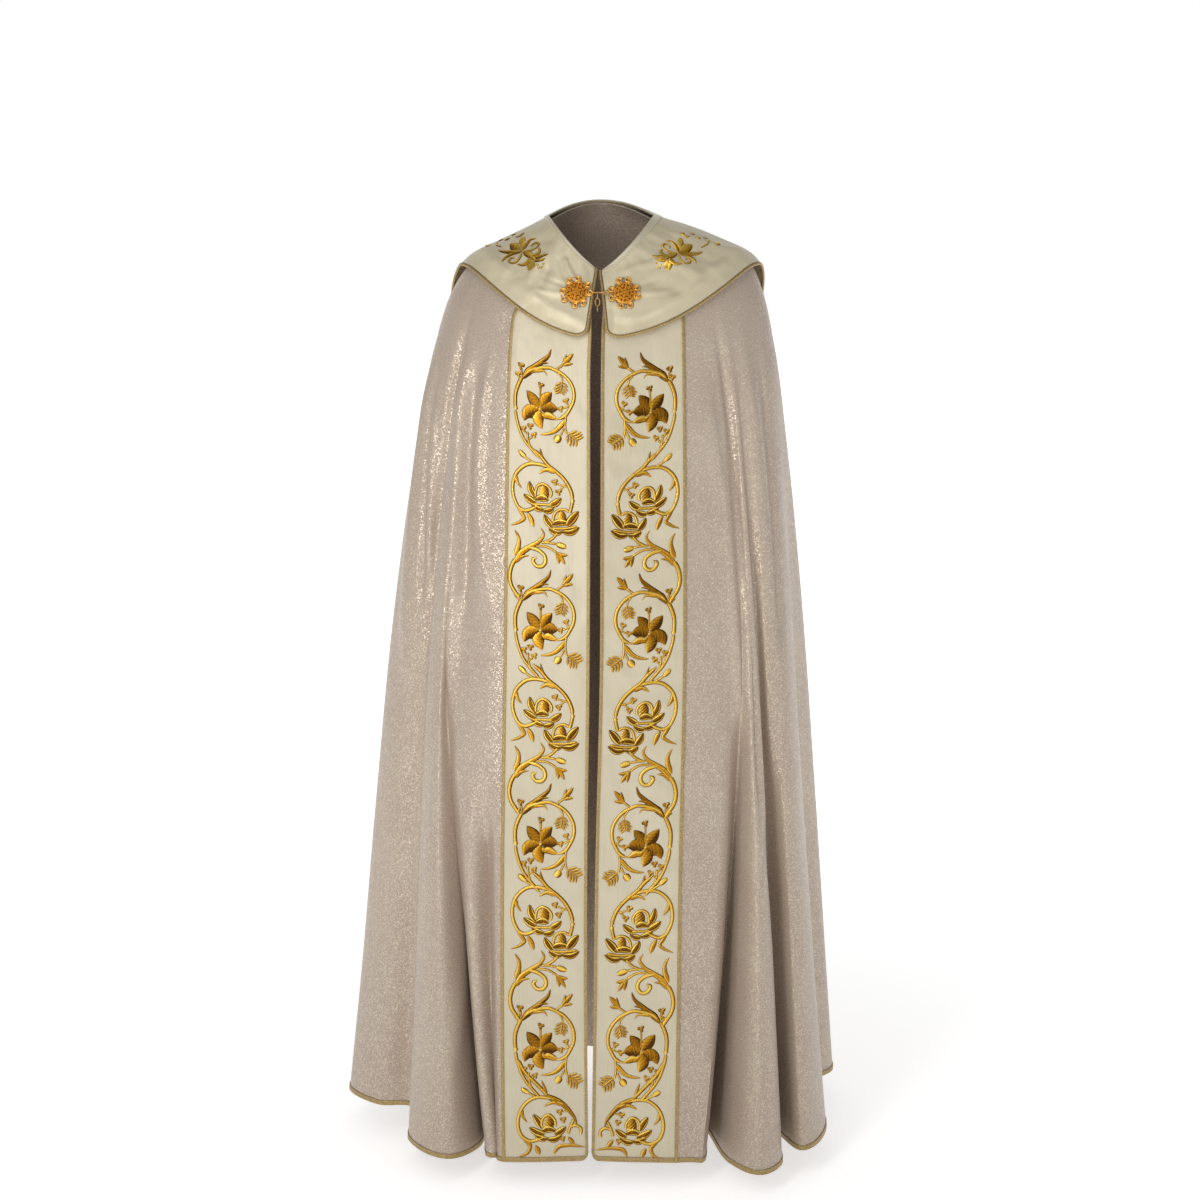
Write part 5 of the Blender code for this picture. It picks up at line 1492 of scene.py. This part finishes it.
class COPE_OT_trim(CopeOperator):
    """Lay the twisted piping on the hood's border and the satin binding round its neckline"""
    bl_idname = "cope.trim"
    bl_label = "Piping and binding"

    def execute(self, context):
        line, facing = border(HOOD), border(HOOD_NORMALS)
        away = unit(np.cross(facing, np.gradient(line, axis=0)))
        path = line + facing * HOOD_WALL / 2 + away * (PIPING_RADIUS + 2 * GAP)
        points, faces, uv = rope_arrays(resampled(path, 0.9 * MM), PIPING_RADIUS * PIPING_FILL, 8,
                                        strands=2, pitch=PIPING_TWIST, depth=PIPING_GROOVE)
        piece("hood_cord", points, faces, uv, finish("dull_gold_braid"), ("hood_piping",))
        # a flat binding with a welt of turned cloth along its lower edge
        fall, bearing = np.broadcast_arrays(np.linspace(0, BINDING_WIDTH, BINDING_ROWS)[:, None],
                                            HOOD_BEARINGS[:1, 1:-1])
        base = unfolded(fall, bearing)
        base = base + outward(base) * HOOD_CLEARANCE
        normals = outward(base)
        share = fall / BINDING_WIDTH
        welt = WELT_HEIGHT * np.exp(-((share - WELT_PLACE) / WELT_SPREAD) ** 2)
        welt = welt + BINDING_BOW * np.sin(math.pi * share) ** 0.5
        outer = base + normals * (HOOD_WALL + GAP + BINDING_WALL + welt)[..., None]
        inner = base + normals * (HOOD_WALL + GAP)
        uv = np.stack([bearing * HOOD_METRIC, fall], -1)
        made = shell("neck_binding_satin", outer, inner, uv, finish("binding_satin"),
                     ("neck_binding",))
        return {"FINISHED"}


class COPE_OT_embroidery(CopeOperator):
    """Stitch the gold scroll of lilies and roses on the orphreys and the sprays on the hood"""
    bl_idname = "cope.embroidery"
    bl_label = "Embroidery"

    def execute(self, context):
        # painted light: on both the thread is painted paler towards a light from above and from the left;
        # across runs away from the front opening on an orphrey and towards it on the hood
        for side, towards in (("left", 0.7), ("right", -0.7)):
            patch = band_patch(side)
            embroidered(f"orphrey_embroidery_{side}", BAND_MOTIFS[side], patch.place, (towards, -0.7))
            embroidered(f"hood_embroidery_{side}", [Motif(HOOD_SPRAY, 0.0, 1.0, 0.0, 0.0, 1.0)],
                        hood_spray_place(side), (-towards, -0.7))
        return {"FINISHED"}


# ---------------------------------------------------------------- the clasp
def medallion_frame(side):
    """(origin, right, up, normal) of a medallion on the hood's outer face."""
    spot = MEDALLION_SPOTS[side]
    bearing = math.radians(spot.bearing)
    normal = normal_at(spot.fall, bearing, 0.002)
    origin = unfolded(spot.fall, bearing) + normal * (HOOD_CLEARANCE + HOOD_WALL + MEDALLION_BACK)
    right = unit(np.cross([0.0, 0.0, 1.0], normal))
    return origin, right, np.cross(normal, right), normal


def circle(count, radius):
    """Points evenly round a circle in the plane."""
    q = np.linspace(0, 2 * math.pi, count + 1)[:-1]
    return np.stack([np.cos(q), np.sin(q)], -1) * radius


def scroll_path(turn, mirror):
    """One C-scroll of the openwork border, in the medallion's plane: an arc that curls in on itself.

    Its radius goes from SCROLL_RADIUS to SCROLL_CORE by the SCROLL_CURL power of the share of its sweep.
    """
    q = np.linspace(0, math.radians(SCROLL_SWEEP), SCROLL_STEPS)
    r = SCROLL_RADIUS - (SCROLL_RADIUS - SCROLL_CORE) * (q / q[-1]) ** SCROLL_CURL
    start = math.radians(SCROLL_START)
    flat = np.stack([SCROLL_CENTRE + r * np.cos(start - q), r * np.sin(start - q) * mirror], -1)
    cosine, sine = math.cos(turn), math.sin(turn)
    return flat @ np.array([[cosine, sine], [-sine, cosine]])


def medallion_parts(side):
    """(wire parts, dome parts) of one medallion: four pairs of scrolls round a dome of filigree coils."""
    origin, right, up, normal = medallion_frame(side)

    def lay(flat, lift):
        """Points in space from points in the medallion's plane and their lifts off its back."""
        return origin + flat[:, :1] * right + flat[:, 1:] * up + np.asarray(lift).reshape(-1, 1) * normal

    def wire(flat, lift, thick, sides, closed=False):
        """A wire with painted light: its level is 0.25 + 0.75 * how far each point of it faces out, a painted
        highlight on its crown and painted shade on its sides.
        """
        path = lay(flat, lift)
        points, faces, uv = rope_arrays(path, thick, sides, closed=closed)
        return points, faces, uv, 0.25 + 0.75 * (points - np.repeat(path, sides, axis=0)) @ normal / thick

    def post(at, radius, lifts):
        """A short post that stands on the medallion's plane, from its radius and its lifts in mm."""
        return wire(np.repeat(at, len(lifts), 0), np.array(lifts) * MM, radius * MM, 7)

    def spot(q, radius):
        return np.array([[math.cos(q), math.sin(q)]]) * radius

    wires = []
    for quarter in range(4):
        axis = math.radians(MEDALLION_SPOTS[side].turn) + quarter * math.pi / 2
        for hand in (-1, 1):
            flat = scroll_path(axis + hand * math.radians(SCROLL_SPREAD), hand)
            wires.append(wire(flat, np.linspace(*SCROLL_LIFTS, len(flat)) * MM, SCROLL_WIRE, 8))
            wires.append(post(flat[-1:], CORE_RADIUS, CORE_LIFTS))
        for stud in STUDS:
            at = spot(axis + math.radians(stud.turn), stud.reach * MM)
            wires.append(post(at, stud.radius, STUD_LIFTS))
    for each in RING_WIRES:
        loop, lift = circle(RING_STEPS, each.reach * MM), np.full(RING_STEPS, each.lift * MM)
        wires.append(wire(loop, lift, each.radius * MM, 6, closed=True))

    # the plain dome: a quarter circle turned round, its radius and height scaled
    angle = np.linspace(0, math.pi / 2, DOME_RINGS)[:, None]
    q = (np.arange(DOME_TURNS) * 2 * math.pi / DOME_TURNS)[None, :]
    wide, tall = DOME_RADIUS * DOME_GROUND[0], DOME_HEIGHT * DOME_GROUND[1]
    flat = np.stack(np.broadcast_arrays(np.cos(angle) * np.cos(q), np.cos(angle) * np.sin(q)), -1) * wide
    flat = flat.reshape(-1, 2)
    lift = np.repeat(np.sin(angle) * tall, DOME_TURNS)
    dome = [(lay(flat, lift), tube_faces(DOME_RINGS, DOME_TURNS), flat, np.full(len(flat), -0.5))]
    for count, share in COILS:
        for k in range(count):
            centre = spot(2 * math.pi * (k + share) / count, share * DOME_RADIUS)
            for size in COIL_SHARES:
                loop = centre + circle(12, COIL_RADIUS * size)
                away = np.linalg.norm(loop, axis=1) / DOME_RADIUS
                lift = np.sqrt(np.clip(1 - away**2, 0.03, 1)) * DOME_HEIGHT * COIL_RISE + COIL_LIFT
                dome.append(wire(loop, lift, COIL_WIRE, 5, closed=True))
    return wires, dome


class COPE_OT_clasp(CopeOperator):
    """Make the filigree medallions, the hook and eye between them and the three hanging links"""
    bl_idname = "cope.clasp"
    bl_label = "Clasp"

    def execute(self, context):
        rims = {}
        for side, sign in (("left", 1), ("right", -1)):
            wires, dome = medallion_parts(side)
            points, faces, uv, tone = joined(wires)
            piece(f"medallion_scrolls_{side}", points, faces, uv, finish("gilt_wire"),
                  (f"medallion_{side}",), tone)
            points, faces, uv, tone = joined(dome)
            piece(f"medallion_dome_{side}", points, faces, uv, finish("gilt_dome"), (), tone)
            origin, right, _, normal = medallion_frame(side)
            rims[side] = origin + normal * MEDALLION_BACK + right * sign * (MEDALLION_WAIST + EYE_SPACE)
        _, ahead, height = (rims["left"] + rims["right"]) / 2
        ahead -= CLASP_FORWARD

        def wire(name, path, solid, closed):
            """A round gilt wire along a path."""
            points, faces, uv = rope_arrays(path, WIRE_RADIUS, 8, closed=closed)
            piece(name, points, faces, uv, finish("gilt_wire"), (solid,),
                  np.full(len(points), WIRE_TONE))

        def loop(name, centre, across, half_width, half_height):
            """An upright oval link whose width lies along across."""
            q = (np.arange(LINK_STEPS) * 2 * math.pi / LINK_STEPS)[:, None]
            wide, tall = np.array(across) * half_width, np.array([0.0, 0.0, half_height])
            wire(f"{name}_wire", np.array(centre) + wide * np.sin(q) + tall * np.cos(q), name, True)

        eye_x = rims["right"][0] - EYE_HALF_WIDTH - WIRE_RADIUS
        loop("clasp_eye", (eye_x, ahead, height), (1.0, 0.0, 0.0), EYE_HALF_WIDTH, EYE_HALF_HEIGHT)
        start = rims["left"][0] + WIRE_RADIUS
        span = eye_x - EYE_HALF_WIDTH - start
        route = [
            (start + point.share * span + point.past_eye, ahead - point.forward * HOOK_REACH, height)
            for point in HOOK_ROUTE
        ]
        wire("clasp_hook_wire", resampled(route, 0.3 * MM), "clasp_hook", False)
        held = height
        for k, half_height in enumerate(LINK_HALF_HEIGHTS):
            centre = (start + CHAIN_SHARE * span, ahead - CHAIN_FORWARD * HOOK_REACH,
                      held + WIRE_CLEARANCE - half_height)
            across = (0.0, 1.0, 0.0) if k % 2 == 0 else (1.0, 0.0, 0.0)
            loop(f"chain_link_{k + 1}", centre, across, LINK_HALF_WIDTH, half_height)
            held = centre[2] - half_height
        return {"FINISHED"}


# ---------------------------------------------------------------- the stage
CAMERA_SPOT = (0.0, -3.4, -0.10)
CAMERA_PITCH = math.radians(90 - 7.95)
CAMERA_LENS = 68.04
CAMERA_SENSOR = 36.0
FLOOR_REACH = 60.0
FLOOR_GLOW_RUN = (0.6, 3.0)  # metres from the garment between which the floor brightens to white
WHITE = (1.0, 1.0, 1.0, 1.0)
# an upright oblong light: the setting of its power, its spot, its aim, its width and height, its colour
Lamp = namedtuple("Lamp", "name power spot aim size colour")
LAMPS = [
    Lamp("front_key", "key", (-0.75, -1.95, 0.15), (0.0, 0.0, -0.4), (0.4, 1.8), (1.0, 0.98, 0.94)),
    Lamp("top_fill", "top", (-0.2, -1.1, 1.5), (0.0, -0.1, -0.1), (1.2, 1.2), (1.0, 0.99, 0.96)),
    Lamp("side_fill", "fill", (2.2, -1.6, 0.2), (0.0, 0.0, -0.6), (1.2, 1.2), (0.96, 0.98, 1.0)),
]


class COPE_OT_stage(CopeOperator):
    """Set the pale floor, the soft lights and the camera"""
    bl_idname = "cope.stage"
    bl_label = "Stage"

    def execute(self, context):
        scene = context.scene
        stage = scene.cope_stage
        level = CAD_BOX[0][2] - stage.floor_gap
        mesh = bpy.data.meshes.new("floor")
        corners = [(-1, -1), (1, -1), (1, 1), (-1, 1)]
        mesh.from_pydata([(x * FLOOR_REACH, y * FLOOR_REACH, level) for x, y in corners], [], [(0, 1, 2, 3)])
        # painted light: the white paper glows, more strongly away from the garment, so that it runs into the
        # white surround
        made, tree, shader = new_finish("lit_white_paper", Roughness=0.9, Specular_IOR_Level=0.1,
                                        Emission_Color=WHITE)
        place = node(tree, "ShaderNodeTexCoord")
        away = node(tree, "ShaderNodeVectorMath", (place.outputs["Object"],), operation="LENGTH")
        glow = node(tree, "ShaderNodeMapRange",
                    (away.outputs["Value"], *FLOOR_GLOW_RUN, stage.floor_glow, 1.0))
        grain = node(tree, "ShaderNodeTexNoise", {"Scale": 3.0})
        shade = shaded(tree, grain.outputs[0], 0.0, 1.0, linear("#FAFAFA"), linear("#FFFFFF"))
        joined_to(tree, shader, Base_Color=shade, Emission_Strength=glow.outputs[0])
        mesh.materials.append(made)
        floor = bpy.data.objects.new("floor", mesh)
        scene.collection.objects.link(floor)

        world = bpy.data.worlds.new("white_studio")
        scene.world = world
        world.use_nodes = True
        tree, sky = world.node_tree, world.node_tree.nodes["Background"]
        sky.inputs["Color"].default_value = WHITE
        ray = node(tree, "ShaderNodeTexCoord")
        parts = node(tree, "ShaderNodeSeparateXYZ", (ray.outputs["Generated"],))
        # white behind the garment, dimmer in front of it and overhead
        around = node(tree, "ShaderNodeMapRange", (parts.outputs["Y"], 0.45, 0.9, stage.surround, 1.0))
        above = node(tree, "ShaderNodeMapRange", (parts.outputs["Z"], 0.15, 0.75, 1.0, 0.8))
        strength = node(tree, "ShaderNodeMath", (around.outputs[0], above.outputs[0]), operation="MULTIPLY")
        joined_to(tree, sky, Strength=strength.outputs[0])

        for lamp in LAMPS:
            light = bpy.data.lights.new(lamp.name, "AREA")
            light.shape = "RECTANGLE"
            (light.size, light.size_y), light.color = lamp.size, lamp.colour
            light.energy = getattr(stage, lamp.power)
            lit = bpy.data.objects.new(lamp.name, light)
            scene.collection.objects.link(lit)
            lit.location = lamp.spot
            lit.rotation_euler = (Vector(lamp.aim) - Vector(lamp.spot)).to_track_quat("-Z", "Y").to_euler()

        lens = bpy.data.cameras.new("camera")
        lens.lens, lens.sensor_width = CAMERA_LENS, CAMERA_SENSOR
        camera = bpy.data.objects.new("camera", lens)
        camera.location, camera.rotation_euler = CAMERA_SPOT, (CAMERA_PITCH, 0.0, 0.0)
        scene.collection.objects.link(camera)
        scene.camera = camera
        scene.view_settings.view_transform = "Standard"
        return {"FINISHED"}


# ---------------------------------------------------------------- the sidebar and the run
STEPS = (COPE_OT_cloak, COPE_OT_orphreys, COPE_OT_braids, COPE_OT_hem, COPE_OT_hood, COPE_OT_trim,
         COPE_OT_embroidery, COPE_OT_clasp, COPE_OT_stage)
SETTINGS = {"cope_cloth": ClothSettings, "cope_embroidery": EmbroiderySettings, "cope_clasp": ClaspSettings,
            "cope_stage": StageSettings}


class COPE_PT_panel(bpy.types.Panel):
    """Settings and steps of the cope in the sidebar"""
    bl_label = "Cope vestment"
    bl_idname = "COPE_PT_panel"
    bl_space_type = "VIEW_3D"
    bl_region_type = "UI"
    bl_category = "Cope"

    def draw(self, context):
        for name, group in SETTINGS.items():
            box = self.layout.box()
            for key in group.__annotations__:
                box.prop(getattr(context.scene, name), key)
        for step in STEPS:
            self.layout.operator(step.bl_idname)


CLASSES = (*SETTINGS.values(), *STEPS, COPE_PT_panel)


def register():
    """Register the classes and put the settings on the scene."""
    for made in CLASSES:
        bpy.utils.register_class(made)
    for name, group in SETTINGS.items():
        setattr(bpy.types.Scene, name, bpy.props.PointerProperty(type=group))


def unregister():
    """Take the settings off the scene and the classes away."""
    for name in SETTINGS:
        delattr(bpy.types.Scene, name)
    for made in reversed(CLASSES):
        bpy.utils.unregister_class(made)


def main():
    """Make the whole garment and its stage."""
    register()
    for item in list(bpy.data.objects):
        if item.type in ("CAMERA", "LIGHT"):
            bpy.data.objects.remove(item, do_unlink=True)
    for step in STEPS:
        group, name = step.bl_idname.split(".")
        getattr(getattr(bpy.ops, group), name)()


if __name__ == "__main__":
    main()
